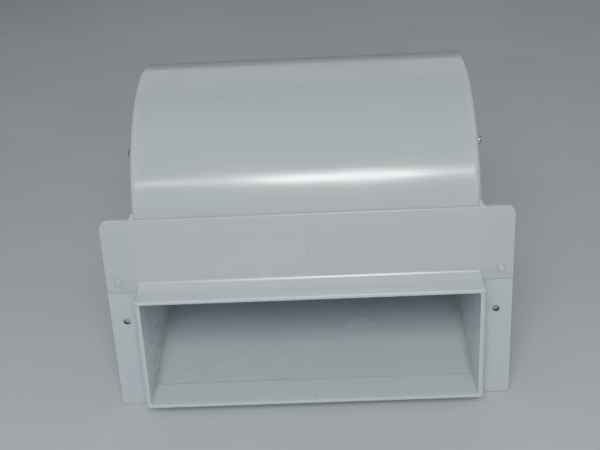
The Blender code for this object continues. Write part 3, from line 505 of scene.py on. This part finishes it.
# %% Upper shell
def ear_corner(side):
    """A hollow corner between an ear's top edge and the drum's end."""
    r = 4.0 * MM
    curve = arc((drum_half + r, flange_top + r), r, 270, 180, 8)
    line = [*curve, (drum_half - 2 * MM, flange_top + r), (drum_half - 2 * MM, flange_top - 1 * MM),
            (drum_half + r, flange_top - 1 * MM)]
    return along_y(lambda inset: [(side * u, v) for u, v in line], 0.3 * MM, front_layer - 0.05 * MM)


def lip():
    """The outlet's lip and the bend above it, its front edge and its ends rounded."""
    top = outlet_top + wall
    def line(inset):
        bend = arc((0.05 * MM - bend_r, top + bend_r), bend_r + inset, -90, 0, 16)
        nose = arc((-collar_depth + 0.7 * MM, top - 0.7 * MM), 0.7 * MM - inset, 90, 180, 5)
        return [(-collar_depth + inset, upper_edge), (1 * MM, upper_edge), (1 * MM, top + bend_r),
                *reversed(bend), *nose]
    return along_x(line, -collar_half, collar_half, 0.6 * MM, 0.6 * MM, 4)


def top_strip(inset):
    return round_rectangle(-flange_half + inset, flange_half - inset, upper_edge, flange_top - inset,
                           0.3 * MM, 5.2 * MM - inset, 10)


def lug(side, low, high, radius):
    """A screw lug behind the drum, round at its end."""
    def line(inset):
        curve = arc((side * lug_x, lug_y), radius - inset, 0, 180, 20)
        left, right = side * lug_x - radius + inset, side * lug_x + radius - inset
        return [*curve, (left, lug_y - 14 * MM), (right, lug_y - 14 * MM)]
    return along_z(line, low, high, 0.5 * MM, 0.5 * MM)


def tongue():
    """The cut-off tongue that splits the air at the outlet, with a round bead."""
    turn = math.radians(-48)
    root_y = -bend_r + (bend_r + wall / 2) * math.cos(turn)
    root_z = outlet_top + wall + bend_r + (bend_r + wall / 2) * math.sin(turn)
    bead = arc((15 * MM, 85.2 * MM), 2.2 * MM, -140, 140, 20)
    line = [(root_y, root_z + MM), (root_y, root_z - MM), *bead]
    return along_x(lambda inset: line, -drum_half + wall / 2, drum_half - wall / 2)


def upper_shell():
    shell = solid("shell_upper", along_x(lambda inset: scroll_line(-inset), -drum_half, drum_half,
                                         3.5 * MM, 3.5 * MM, 8), casing_look)
    trim = box((-FAR, FAR), (front_layer + 0.2 * MM, FAR), (upper_edge, FAR))
    centre = box((-drum_half - 0.2 * MM, drum_half + 0.2 * MM), (0.8 * MM, flange_thick),
                 (upper_edge + 0.1 * MM, flange_top - 0.8 * MM))
    low = shelf + 6 * MM + GAP
    upper = [a for a in ring_angles if a < 180]
    places = [polar(ring_screw_r, a) for a in upper]
    holes = [along_y(disc(peg_hole_r, (side * peg_place[0], peg_place[1])), -FAR, FAR) for side in (-1, 1)]
    bolts = [along_z(disc(1.9 * MM, (side * lug_x, lug_y)), low - 5 * MM, FAR) for side in (-1, 1)]
    shaped(shell,
           ("INTERSECT", trim),
           ("UNION", along_y(top_strip, 0, front_layer, 0.5 * MM, 0.2 * MM)),
           ("UNION", centre),
           ("UNION", lip()),
           ("UNION", several([ear_corner(-1), ear_corner(1)])),
           ("UNION", several([lug(side, low, low + 4 * MM, 6 * MM) for side in (-1, 1)])),
           ("DIFFERENCE", air_path()),
           ("DIFFERENCE", inlet_bores()),
           ("UNION", tongue()),
           ("UNION", rods_x(places, 3.7 * MM, boss_spans)),
           ("DIFFERENCE", rods_x(places, 1.7 * MM, hole_spans)),
           ("DIFFERENCE", several(holes + bolts)))
    return softened(shell)


dress(upper_shell(), "casing", "casing_plastic", "upper_shell")

# %% [markdown]
# ## The lower shell
# It carries the outlet's floor and side walls, the ramp, the bottom of the drum and the main layer of
# the flange. A belt round its rim grips the upper shell from outside. The collar's corners are small
# rounds, and a thin fillet runs where the collar comes through the flange.

# %% Lower shell
def lower_plate(inset):
    return round_rectangle(-flange_half + inset, flange_half - inset, inset, shelf, 3.6 * MM - inset,
                           0.3 * MM, 10)


def collar_line(inset):
    return round_rectangle(-collar_half + inset, collar_half - inset, collar_low + inset,
                           shelf - 0.1 * MM, 1.8 * MM - inset, 0.2 * MM)


def collar_fillet():
    """A slim hollow corner round the collar's foot, on both sides and below."""
    r = 1.4 * MM
    rows = []
    for k in range(7):
        turn = math.radians(90 * k / 6)
        rows.append((-r * (1 - math.sin(turn)), r * (1 - math.cos(turn))))
    rings = []
    for y, out in rows:
        ring = round_rectangle(-collar_half - out, collar_half + out, collar_low - out,
                               shelf - 0.15 * MM, 1.8 * MM + out, 0.2 * MM)
        rings.append([(u, y, v - seat) for u, v in ring])
    rings.append([(x, 1 * MM, z) for x, y, z in rings[-1]])
    return loft(rings)


def back_layer(side):
    """The ears' back layer, which the upper shell's front layer lies on."""
    def line(inset):
        corner = arc((flange_half - 5.2 * MM, flange_top - 5.2 * MM), 5.2 * MM - inset, 0, 90, 8)
        start = drum_half + 2 * GAP + inset
        foot = shelf - 2 * MM
        return [(side * u, v) for u, v in [(start, foot), (flange_half - 0.1 * MM, foot), *corner,
                                           (start, flange_top - inset)]]
    return along_y(line, front_layer + GAP, flange_thick - 0.1 * MM, 0, 0.3 * MM)


def lower_shell():
    shell = solid("shell_lower", along_x(lambda inset: scroll_line(-inset), -drum_half, drum_half,
                                         3.5 * MM, 3.5 * MM, 8), casing_look)
    out = GAP + belt
    rim = solid("rim", along_x(lambda inset: scroll_line(out - inset), -drum_half - out, drum_half + out,
                               3.5 * MM + out, 3.5 * MM + out, 8))
    shaped(rim, ("INTERSECT", box((-FAR, FAR), (6.5 * MM, FAR), (shelf - 6 * MM, shelf + 6 * MM))),
           ("DIFFERENCE", along_x(disc(67 * MM, (axis_y, axis_high), 96), -FAR, FAR)))
    rim_bm = bmesh.new()
    rim_bm.from_mesh(rim.data)
    bpy.data.objects.remove(rim)
    room = solid("room", along_x(lambda inset: scroll_line(GAP - inset), -drum_half - GAP,
                                 drum_half + GAP, 3.5 * MM + GAP, 3.5 * MM + GAP, 8))
    shaped(room, ("INTERSECT", box((-FAR, FAR), (-FAR, FAR), (shelf, FAR))))
    room_bm = bmesh.new()
    room_bm.from_mesh(room.data)
    bpy.data.objects.remove(room)
    top = shelf + 5.8 * MM
    posts = [along_z(disc(5.5 * MM, (side * lug_x, lug_y), 24), top - 13 * MM, top, 1.5 * MM, 0.4 * MM)
             for side in (-1, 1)]
    lower = [a for a in ring_angles if a > 180]
    places = [polar(ring_screw_r, a) for a in lower]
    holes = [along_y(disc(peg_hole_r, (side * peg_place[0], peg_place[1])), -FAR, FAR) for side in (-1, 1)]
    holes += [along_y(disc(ear_hole_r, (side * ear_hole[0], ear_hole[1])), -FAR, FAR) for side in (-1, 1)]
    holes += [along_z(disc(1.9 * MM, (side * lug_x, lug_y)), top - 11 * MM, FAR) for side in (-1, 1)]
    shaped(shell,
           ("INTERSECT", box((-FAR, FAR), (front_layer + 0.2 * MM, FAR), (-FAR, shelf + 3 * MM))),
           ("UNION", rim_bm),
           ("UNION", several(posts)),
           ("DIFFERENCE", room_bm),
           ("UNION", along_y(lower_plate, 0, flange_thick, 0.5 * MM, 0.5 * MM)),
           ("UNION", several([back_layer(-1), back_layer(1)])),
           ("UNION", along_y(collar_line, -collar_depth, 1 * MM, 0.6 * MM, 0)),
           ("UNION", collar_fillet()),
           ("DIFFERENCE", air_path()),
           ("DIFFERENCE", inlet_bores()),
           ("UNION", rods_x(places, 3.7 * MM, boss_spans)),
           ("DIFFERENCE", rods_x(places, 1.7 * MM, hole_spans)),
           ("DIFFERENCE", several(holes)))
    return softened(shell)


dress(lower_shell(), "casing", "casing_plastic", "lower_shell")

# %% [markdown]
# ## Pegs in the ears
# Two moulded pegs rivet the layers of the ears. Their heads are low domes with a dimple from the tool,
# which is turned from a short profile and then laid on its side.

# %% Pegs
def lathe_y(profile, centre, count=32):
    """A solid turned about an axis along Y, from (y, radius) points."""
    bm = bmesh.new()
    rings = [[bm.verts.new((centre[0] + r * math.cos(math.tau * i / count), y,
                            centre[1] - seat + r * math.sin(math.tau * i / count))) for i in range(count)]
             for y, r in profile]
    for near, far in zip(rings, rings[1:]):
        for i in range(count):
            j = (i + 1) % count
            bm.faces.new((near[i], near[j], far[j], far[i]))
    bmesh.ops.remove_doubles(bm, verts=bm.verts, dist=1e-7)
    return bm


def peg(side):
    back = flange_thick + GAP
    head = [(-0.30, 1.6), (-0.30, 2.45), (-0.42, 2.52), (-0.62, 2.45), (-0.88, 2.15), (-1.08, 1.75),
            (-1.14, 1.4), (-1.10, 1.1), (-0.96, 0.7), (-0.86, 0.35), (-0.84, 0.0)]
    front = [(y * MM, r * MM) for y, r in head]
    rear = [(back + (0.9 - 0.45 * k / 4 if k else 0.9) * MM, r * MM)
            for k, r in enumerate((0.0, 1.2, 1.9, 2.3))]
    rear += [(back, 2.5 * MM), (back, 1.6 * MM)]
    return solid("peg_" + ("right" if side > 0 else "left"),
                 lathe_y(rear + front, (side * peg_place[0], peg_place[1])), casing_look)


dress(softened(peg(-1), 50), "casing", "casing_plastic", "ear_peg_left")
dress(softened(peg(1), 50), "casing", "casing_plastic", "ear_peg_right")

# %% [markdown]
# ## Metals, rubber and the wheel's plastic
# Zinc plating is bright but never even, so its roughness wanders and a faint grain runs through it.
# Turned brass shows its tool marks as rings round the shaft. Laminations are thin sheets, so a fine
# wave along the shaft draws their edges, and the same wave, coarser, makes the copper of the windings.

# %% Finishes for the working parts
def metal(name, colour, darker, roughness, grain, depth):
    """Plated or turned metal: colour and polish wander a little, and fine rings run round the shaft."""
    made, tree, shader = look(name, roughness, 1.0)
    point = place(tree)
    cloud = spread(tree, noise(tree, point, 90.0, 4.0), 0.3, 0.7)
    tree.links.new(mix(tree, cloud, colour, darker), shader.inputs["Base Color"])
    wear = noise(tree, point, 160.0, 3.0)
    tree.links.new(spread(tree, wear, 0.3, 0.7, roughness - 0.07, roughness + 0.12),
                   shader.inputs["Roughness"])
    rings = add(tree, "ShaderNodeTexWave", {"Vector": point, "Scale": grain, "Distortion": 1.5,
                                            "Detail": 2.0}, bands_direction="X").outputs["Fac"]
    bumps(tree, shader, (rings, depth), (noise(tree, point, 1500.0, 2.0), 0.004 * MM))
    return made


def moulded(name, colour, other, roughness, scale):
    """Filled plastic or rubber: a fine grain and a faint cloud of colour."""
    made, tree, shader = look(name, roughness)
    point = place(tree)
    cloud = spread(tree, noise(tree, point, 40.0, 3.0), 0.3, 0.7)
    tree.links.new(mix(tree, cloud, colour, other), shader.inputs["Base Color"])
    wear = noise(tree, point, 120.0, 2.0)
    tree.links.new(spread(tree, wear, 0.3, 0.7, roughness - 0.05, roughness + 0.1),
                   shader.inputs["Roughness"])
    bumps(tree, shader, (noise(tree, point, scale, 2.0), 0.01 * MM))
    return made


zinc = metal("zinc_plating", (0.62, 0.62, 0.60), (0.50, 0.51, 0.50), 0.28, 700.0, 0.002 * MM)
can_steel = metal("drawn_steel", (0.50, 0.50, 0.50), (0.40, 0.41, 0.42), 0.36, 420.0, 0.004 * MM)
bright_shaft = metal("ground_steel", (0.66, 0.66, 0.65), (0.58, 0.58, 0.58), 0.20, 1100.0, 0.001 * MM)
brass = metal("turned_brass", (0.72, 0.53, 0.24), (0.60, 0.43, 0.18), 0.27, 900.0, 0.003 * MM)
bronze = metal("oiled_bronze", (0.46, 0.31, 0.15), (0.36, 0.24, 0.12), 0.45, 300.0, 0.001 * MM)
iron = metal("laminations", (0.24, 0.24, 0.26), (0.16, 0.16, 0.18), 0.45, 320.0, 0.05 * MM)
copper = metal("copper_wire", (0.60, 0.24, 0.10), (0.42, 0.14, 0.06), 0.33, 260.0, 0.25 * MM)
rubber = moulded("black_rubber", (0.022, 0.022, 0.023), (0.035, 0.034, 0.033), 0.72, 900.0)
cage_look = moulded("grey_wheel", (0.52, 0.54, 0.55), (0.58, 0.60, 0.61), 0.42, 500.0)
print("finishes:", [m.name for m in bpy.data.materials if m.use_nodes][:12])

# %% [markdown]
# ## Inlet ring and motor bracket
# Each end of the drum has a bellmouth that leads the air into the wheel. Its profile is turned round
# the shaft: a flat flange, a rolled mouth and a throat that reaches inside the wheel. The right one
# also carries three arms and a plate for the motor, joined as one moulding, with a rib along the
# outside of each arm.

# %% Inlet ring
throat_r = 50.0 * MM
ring_face = drum_half + GAP


def bellmouth(side):
    nose = 97.0 * MM
    out = ring_face + 2 * MM
    roll = arc((out - 4 * MM, throat_r + 4 * MM), 4 * MM, 0, -90, 10)
    rim = arc((out - 0.9 * MM, 65.1 * MM), 0.9 * MM, 90, 0, 4)
    tip = arc((nose + 0.7 * MM, throat_r + 0.7 * MM), 0.7 * MM, 270, 90, 6)
    profile = [*tip, (ring_face, throat_r + 2 * MM), (ring_face, 66 * MM), *rim, *roll]
    return turned([(side * x, r) for x, r in profile])


def flange_holes(side):
    span = (side * drum_half - 5 * MM, side * drum_half + 5 * MM)
    return rods_x([polar(ring_screw_r, a) for a in ring_angles], 1.7 * MM, [span], 20)


ring = solid("bellmouth_left", bellmouth(-1), ring_look)
shaped(ring, ("DIFFERENCE", flange_holes(-1)))
dress(softened(ring), "casing", "ring_plastic", "inlet_ring")


# %% Motor bracket
plate_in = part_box("mount_grommet_1")[0].x + 1.6 * MM + GAP
plate_out = plate_in + 2.5 * MM


def arm(turn):
    """An arm from the plate to the ring, with a rib down its middle."""
    pieces = [((plate_in + GAP, plate_in + 4.5 * MM), (28.7 * MM, 50.6 * MM), 4.5 * MM),
              ((plate_in + 1 * MM, plate_in + 6.0 * MM), (30.5 * MM, 50.4 * MM), 1.1 * MM)]
    made = []
    for x, reach, half in pieces:
        bm = bmesh.new()
        line = [(reach[0], -half), (reach[1], -half), (reach[1], half), (reach[0], half)]
        ends_x = [[bm.verts.new((v, u, w)) for u, w in line] for v in x]
        for i in range(4):
            j = (i + 1) % 4
            bm.faces.new((ends_x[0][i], ends_x[0][j], ends_x[1][j], ends_x[1][i]))
        bm.faces.new(ends_x[0])
        bm.faces.new(ends_x[1])
        bmesh.ops.rotate(bm, verts=bm.verts, matrix=Matrix.Rotation(math.radians(turn), 3, "X"))
        bmesh.ops.translate(bm, verts=bm.verts, vec=(0, axis_y, axis_high - seat))
        made.append(bm)
    return made


bracket = solid("bellmouth_right", bellmouth(1), ring_look)
round_plate = [(plate_in, 13 * MM), (plate_in, 32 * MM), (plate_out - 0.4 * MM, 32 * MM),
               (plate_out, 31.6 * MM), (plate_out, 13.4 * MM), (plate_out - 0.4 * MM, 13 * MM)]
bolt_places = [polar(24 * MM, 90 + 120 * i) for i in range(3)]
steps = [("UNION", turned(round_plate))]
for i in range(3):
    steps += [("UNION", bm) for bm in arm(30 + 120 * i)]
shaped(bracket, *steps,
       ("DIFFERENCE", rods_x(bolt_places, 5.3 * MM, [(plate_in - 5 * MM, plate_out + 9 * MM)], 32)),
       ("DIFFERENCE", flange_holes(1)))
dress(softened(bracket), "casing", "ring_plastic", "motor_bracket")

# %% [markdown]
# ## Screws
# A pan-head screw is a low dome with a cross cut into it. One function makes the head, the recess and a
# tapped shank whose thread is a stack of fine rings, because under a head only a hint of thread is ever
# seen. Each screw is turned a little differently, as hand-driven screws are.

# %% Cross-recess screws
def pan_screw(name, node, body, shank, head, length, place_at, direction, twist):
    dome = [(0.0, head * 0.98), (0.25 * MM, head), (0.9 * MM, head * 0.97), (1.45 * MM, head * 0.82),
            (1.8 * MM, head * 0.56), (1.95 * MM, head * 0.28), (2.0 * MM, 0.0)]
    pitch = 0.7 * MM
    thread = [(-length, 0.0), (-length + 0.6 * MM, shank * 0.8)]
    turns = int((length - 1.6 * MM) / pitch)
    for k in range(turns):
        x = -length + 0.8 * MM + k * pitch
        thread += [(x, shank * 0.84), (x + pitch / 2, shank)]
    profile = [*thread, (0.0, shank), *dome]
    bm = bmesh.new()
    count = 28
    rings = [[bm.verts.new((x, r * math.cos(math.tau * i / count), r * math.sin(math.tau * i / count)))
              for i in range(count)] for x, r in profile]
    for near, far in zip(rings, rings[1:]):
        for i in range(count):
            j = (i + 1) % count
            bm.faces.new((near[i], near[j], far[j], far[i]))
    bmesh.ops.remove_doubles(bm, verts=bm.verts, dist=1e-7)
    screw = solid(name, bm, zinc)
    for turn in (0, 90):
        slot = bmesh.new()
        wide, narrow, deep = head * 0.58, head * 0.13, 1.1 * MM
        corner = ((-1, -1), (1, -1), (1, 1), (-1, 1))
        top = [(2.4 * MM, y * wide, z * narrow) for y, z in corner]
        low = [(2.0 * MM - deep, y * wide * 0.45, z * narrow * 0.7) for y, z in corner]
        corners = [slot.verts.new(v) for v in top + low]
        slot.faces.new(corners[:4])
        slot.faces.new(corners[4:])
        for i in range(4):
            j = (i + 1) % 4
            slot.faces.new((corners[i], corners[j], corners[4 + j], corners[4 + i]))
        bmesh.ops.rotate(slot, verts=slot.verts, matrix=Matrix.Rotation(math.radians(turn), 3, "X"))
        shaped(screw, ("DIFFERENCE", slot))
    spin = Matrix.Rotation(math.radians(twist), 4, "X")
    aim = Vector((1, 0, 0)).rotation_difference(Vector(direction)).to_matrix().to_4x4()
    screw.data.transform(Matrix.Translation(place_at) @ aim @ spin)
    return dress(softened(screw, 40), body, "screw_steel", node)


head_x = ring_face + 2 * MM + GAP
for side, word in ((-1, "left"), (1, "right")):
    for number, degrees in enumerate(ring_angles, 1):
        y, high = polar(ring_screw_r, degrees)
        pan_screw(f"mouth_screw_{word}_{number}", f"ring_screw_{word}_{number}", "casing", 1.4 * MM, 3.0 * MM,
                  9 * MM, (side * head_x, y, high - seat), (side, 0, 0), 37 * number + 11 * side)
    lug_top = shelf + 6 * MM + GAP + 4 * MM + GAP
    pan_screw(f"back_screw_{word}", f"rear_screw_{word}", "casing", 1.6 * MM, 3.0 * MM, 15 * MM,
              (side * lug_x, lug_y, lug_top - seat), (0, 0, 1), 20 + 33 * side)
bolt_x = plate_out + 2 * GAP + 1.6 * MM
for number, (y, high) in enumerate(bolt_places, 1):
    pan_screw(f"motor_bolt_{number}", f"motor_screw_{number}", "casing", 2.0 * MM, 4.0 * MM,
              bolt_x - 84.6 * MM, (bolt_x, y, high - seat), (1, 0, 0), 25 * number)

# %% [markdown]
# ## The wheel
# A squirrel-cage wheel is a ring of thin forward-curved blades between two rims, with a disc across the
# middle that carries the hub. The blades are drawn out along the shaft from one curved section, then
# joined to the disc and the rims. Six low ribs stiffen the disc on each side.

# %% Impeller
wheel_r, heel_r, wheel_half = 64.0 * MM, 52.0 * MM, 94.0 * MM


def blade(degrees, steps=6, thick=1.3 * MM):
    """A forward-curved blade: its tip leads its heel, and it thins a little towards the tip."""
    middle = []
    for i in range(steps + 1):
        share = i / steps
        radius = heel_r + (wheel_r - 0.2 * MM - heel_r) * share
        middle.append(polar(radius, degrees - 9.0 * share ** 1.7))
    left, right = [], []
    for i, (y, z) in enumerate(middle):
        before, after = middle[max(i - 1, 0)], middle[min(i + 1, steps)]
        run = math.hypot(after[0] - before[0], after[1] - before[1])
        ny, nz = -(after[1] - before[1]) / run, (after[0] - before[0]) / run
        half = thick / 2 * (1 - 0.25 * i / steps)
        left.append((y + ny * half, z + nz * half))
        right.append((y - ny * half, z - nz * half))
    line = right + left[::-1]
    return along_x(lambda inset: line, -wheel_half + 0.5 * MM, wheel_half - 0.5 * MM)


def rim_ring(side):
    inner, outer, length = 51.5 * MM, wheel_r, 3.0 * MM
    e = 0.5 * MM
    far = side * wheel_half
    near = side * (wheel_half - length)
    return turned([(near, inner), (near, outer - e), (near + side * e, outer), (far - side * e, outer),
                   (far, outer - e), (far, inner + e), (far - side * e, inner)])


def wheel_disc():
    bore, thick = 7.3 * MM, 1.2 * MM
    return turned([(-3 * MM, bore), (-3 * MM, 10.6 * MM), (-2.6 * MM, 11 * MM),
                   (-thick - 0.6 * MM, 11.3 * MM), (-thick, 12 * MM), (-thick, 63.4 * MM),
                   (thick, 63.4 * MM), (thick, 14 * MM),
                   (2.2 * MM, 12.6 * MM), (7.5 * MM, 11.2 * MM), (8 * MM, 10.8 * MM), (8 * MM, bore)])


def disc_rib(turn):
    bm = bmesh.new()
    line = [(10.0 * MM, -2.4 * MM), (44 * MM, -2.0 * MM), (52.5 * MM, -1.25 * MM),
            (52.5 * MM, 1.25 * MM), (44 * MM, 2.0 * MM), (10.0 * MM, 2.4 * MM)]
    sides = [[bm.verts.new((x, r, w)) for r, x in line] for w in (-0.7 * MM, 0.7 * MM)]
    for i in range(len(line)):
        j = (i + 1) % len(line)
        bm.faces.new((sides[0][i], sides[0][j], sides[1][j], sides[1][i]))
    bm.faces.new(sides[0])
    bm.faces.new(sides[1])
    bmesh.ops.rotate(bm, verts=bm.verts, matrix=Matrix.Rotation(math.radians(turn), 3, "X"))
    bmesh.ops.translate(bm, verts=bm.verts, vec=(0, axis_y, axis_high - seat))
    return bm


wheel = solid("cage_wheel", wheel_disc(), cage_look)
shaped(wheel,
       ("UNION", several([disc_rib(30 + 60 * i) for i in range(6)])),
       ("UNION", several([blade(12 * i) for i in range(30)])),
       ("UNION", several([rim_ring(-1), rim_ring(1)])))
dress(softened(wheel), "wheel", "wheel_plastic", "impeller")

# %% [markdown]
# ## Motor and what carries it
# The motor is a deep-drawn can with a flat cap, hung on three rubber spools so that its hum stays out
# of the casing. Its can, cap and rubbers are turned again here with the rolled edges that drawn steel
# and moulded rubber have. What lies hidden inside keeps its CAD shape and only takes a finish.

# %% Motor can, cap and rubber
def lathed(name, node, slot, body, profile, look_of, centre=None, count=72, cuts=()):
    bm = turned(profile, count)
    if centre:
        bmesh.ops.translate(bm, verts=bm.verts, vec=(0, centre[0] - axis_y, centre[1] - axis_high))
    made = shaped(solid(name, bm, look_of), *cuts)
    return dress(softened(made), body, slot, node)


can_r, can_start, can_end = 34.0 * MM, 18.0 * MM, 84.0 * MM
can_bend = arc((can_start + 3 * MM, can_r - 3 * MM), 3 * MM, 180, 90, 10)
bead = arc((can_end - 6 * MM, can_r), 0.8 * MM, 0, 180, 8)
lathed("motor_shell", "motor_can", "motor_steel", "casing",
       [(can_start, 6.3 * MM), *can_bend, *[(x, 2 * can_r - r) for x, r in reversed(bead)],
        (can_end - 0.3 * MM, can_r), (can_end, can_r - 0.3 * MM),
        (can_end, can_r - 1.6 * MM), (can_start + 3 * MM, can_r - 1.6 * MM),
        (can_start + 1.6 * MM, can_r - 3 * MM), (can_start + 1.6 * MM, 6.3 * MM)], can_steel)

cap_in = can_end + GAP
lead = polar(25.5 * MM, 150)
cap_line = [(cap_in, 6.3 * MM), (cap_in, can_r - 0.3 * MM), (cap_in + 0.3 * MM, can_r),
            (cap_in + 1.6 * MM, can_r), (cap_in + 2.5 * MM, can_r - 0.5 * MM),
            (cap_in + 3 * MM, can_r - 1.6 * MM), (cap_in + 3 * MM, 6.3 * MM)]
cap = solid("motor_cap", turned(cap_line), can_steel)
shaped(cap,
       ("UNION", rods_x(bolt_places, 4.5 * MM, [(cap_in + 1 * MM, cap_in + 9 * MM)], 32)),
       ("DIFFERENCE", rods_x(bolt_places, 2.3 * MM, [(cap_in - 1 * MM, cap_in + 10 * MM)])),
       ("DIFFERENCE", rods_x([lead], 3.3 * MM, [(cap_in - 1 * MM, cap_in + 9 * MM)])))
dress(softened(cap), "casing", "motor_steel", "motor_end_cap")

low, high = plate_in - GAP, plate_out + GAP
spool = [(low - 1.6 * MM, 2.3 * MM), (low - 1.6 * MM, 6.6 * MM), (low - 1.0 * MM, 7.2 * MM),
         (low, 7.2 * MM), (low, 5 * MM), (high, 5 * MM), (high, 7.2 * MM), (high + 1.0 * MM, 7.2 * MM),
         (high + 1.6 * MM, 6.6 * MM), (high + 1.6 * MM, 2.3 * MM)]
for number, centre in enumerate(bolt_places, 1):
    lathed(f"rubber_spool_{number}", f"mount_grommet_{number}", "black_rubber", "casing", spool,
           rubber, centre, 40)
inside, outside = cap_in - GAP, cap_in + 3 * MM + GAP
lathed("lead_rubber", "motor_lead_grommet", "black_rubber", "casing",
       [(inside - 1.2 * MM, 1.5 * MM), (inside - 1.2 * MM, 3.8 * MM), (inside - 0.8 * MM, 4.2 * MM),
        (inside, 4.2 * MM), (inside, 3 * MM), (outside, 3 * MM), (outside, 4.2 * MM),
        (outside + 0.6 * MM, 4.1 * MM),
        (outside + 1.2 * MM, 3.4 * MM), (outside + 1.2 * MM, 1.5 * MM)], rubber, lead, 40)

# %% [markdown]
# ## Pieces that keep their CAD shape
# The hub, shaft, bushes, rotor, stator and windings are already right, and most of them hide inside the
# can. Each only has its plain colour exchanged for the finish above.

# %% Finishes on the carried-over nodes
finishes = {"impeller_hub": brass, "grub_screw": zinc, "motor_shaft": bright_shaft, "motor_rotor": iron,
            "motor_stator": iron, "winding_front": copper, "winding_rear": copper, "bush_front": bronze,
            "bush_rear": bronze}
for node, finish in finishes.items():
    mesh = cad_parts[node].data
    mesh.materials.clear()
    mesh.materials.append(finish)
    print(node, "takes", finish.name)

# %% [markdown]
# ## Light, floor and camera
# A milky piece needs soft light from all round to show its depth. The main lamp is broad, so shadows
# stay soft, and it is hidden from reflections. Two slim lamps just above the viewer are seen only in
# reflections, and draw the long shine on the drum. A low lamp looks into the outlet. The floor is plain
# and pale.

# %% Floor
def ground():
    made, tree, shader = look("pale_floor", 0.7)
    point = place(tree)
    shade = spread(tree, noise(tree, point, 5.0, 3.0), 0.3, 0.7)
    tree.links.new(mix(tree, shade, (0.50, 0.52, 0.54), (0.53, 0.55, 0.57)), shader.inputs["Base Color"])
    bumps(tree, shader, (noise(tree, point, 400.0, 2.0), 0.02 * MM))
    size = 4.0
    z = cad_low.z - 0.2 * MM
    bm = bmesh.new()
    bm.faces.new([bm.verts.new((x * size, y * size, z)) for x, y in ((-1, -1), (1, -1), (1, 1), (-1, 1))])
    return solid("floor", bm, made)


ground()


# %% Lights
def lamp(name, place_at, target, width, height, power, colour=(1.0, 1.0, 1.0)):
    data = bpy.data.lights.new(name, "AREA")
    data.shape = "RECTANGLE"
    data.size = width
    data.size_y = height
    data.energy = power
    data.color = colour
    made = bpy.data.objects.new(name, data)
    bpy.context.scene.collection.objects.link(made)
    made.location = place_at
    made.rotation_euler = (Vector(target) - Vector(place_at)).to_track_quat("-Z", "Y").to_euler()
    return made


def towards(azimuth, elevation, distance, origin=(0.0, 0.03, 0.0)):
    """A point seen from the object at an azimuth from -Y towards +X, and an elevation."""
    a, e = math.radians(azimuth), math.radians(elevation)
    return (origin[0] + distance * math.sin(a) * math.cos(e),
            origin[1] - distance * math.cos(a) * math.cos(e),
            origin[2] + distance * math.sin(e))


shine = lamp("shine", towards(2.4, 33, 1.0), (0, 0.03, 0), 0.22, 0.055, 11.0)
tails = lamp("tails", towards(1.0, 33.4, 1.02), (0, 0.03, 0), 0.62, 0.05, 3.0)
for glossy_only in (shine, tails):
    glossy_only.visible_diffuse = False
key = lamp("key", towards(-1.4, 36, 1.0), (0, 0.03, 0), 0.45, 0.30, 7.6, (0.90, 0.97, 1.0))
key.visible_glossy = False
inside = lamp("fill_inside", towards(0, 12, 0.9), (0, 0, -0.06), 0.5, 0.3, 2.8, (0.86, 0.95, 1.0))
inside.visible_glossy = False
lamp("soft_left", towards(-60, 55, 1.4), (0, 0.05, 0), 1.0, 1.0, 1.6, (0.93, 0.97, 1.0))
lamp("soft_right", towards(65, 50, 1.4), (0, 0.05, 0), 1.0, 1.0, 1.4, (1.0, 0.98, 0.95))
lamp("soft_back", towards(180, 40, 1.6), (0, 0.05, 0), 1.4, 1.0, 4.5, (0.95, 0.97, 1.0))

world = bpy.data.worlds.new("studio")
bpy.context.scene.world = world
world.use_nodes = True
world.node_tree.nodes["Background"].inputs["Color"].default_value = (0.80, 0.87, 0.95, 1.0)
world.node_tree.nodes["Background"].inputs["Strength"].default_value = 0.14


# %% Camera
def camera(location, yaw, pitch, roll, lens):
    """A camera that looks along +Y, turned by yaw, tipped down by pitch and rolled."""
    forward = Vector((math.sin(yaw) * math.cos(pitch), math.cos(yaw) * math.cos(pitch), -math.sin(pitch)))
    right = forward.cross(Vector((0, 0, 1))).normalized()
    up = right.cross(forward)
    across = math.cos(roll) * right + math.sin(roll) * up
    upright = -math.sin(roll) * right + math.cos(roll) * up
    data = bpy.data.cameras.new("camera")
    data.lens = lens
    data.sensor_width = 36.0
    data.clip_start = 0.01
    made = bpy.data.objects.new("camera", data)
    bpy.context.scene.collection.objects.link(made)
    turn = Matrix((across, upright, -forward)).transposed().to_4x4()
    made.matrix_world = Matrix.Translation(location) @ turn
    bpy.context.scene.camera = made
    return made


camera(Vector((0.0140, -0.5610, 0.3777 - seat)), -0.0316, 0.4253, -0.0523, 61.69)
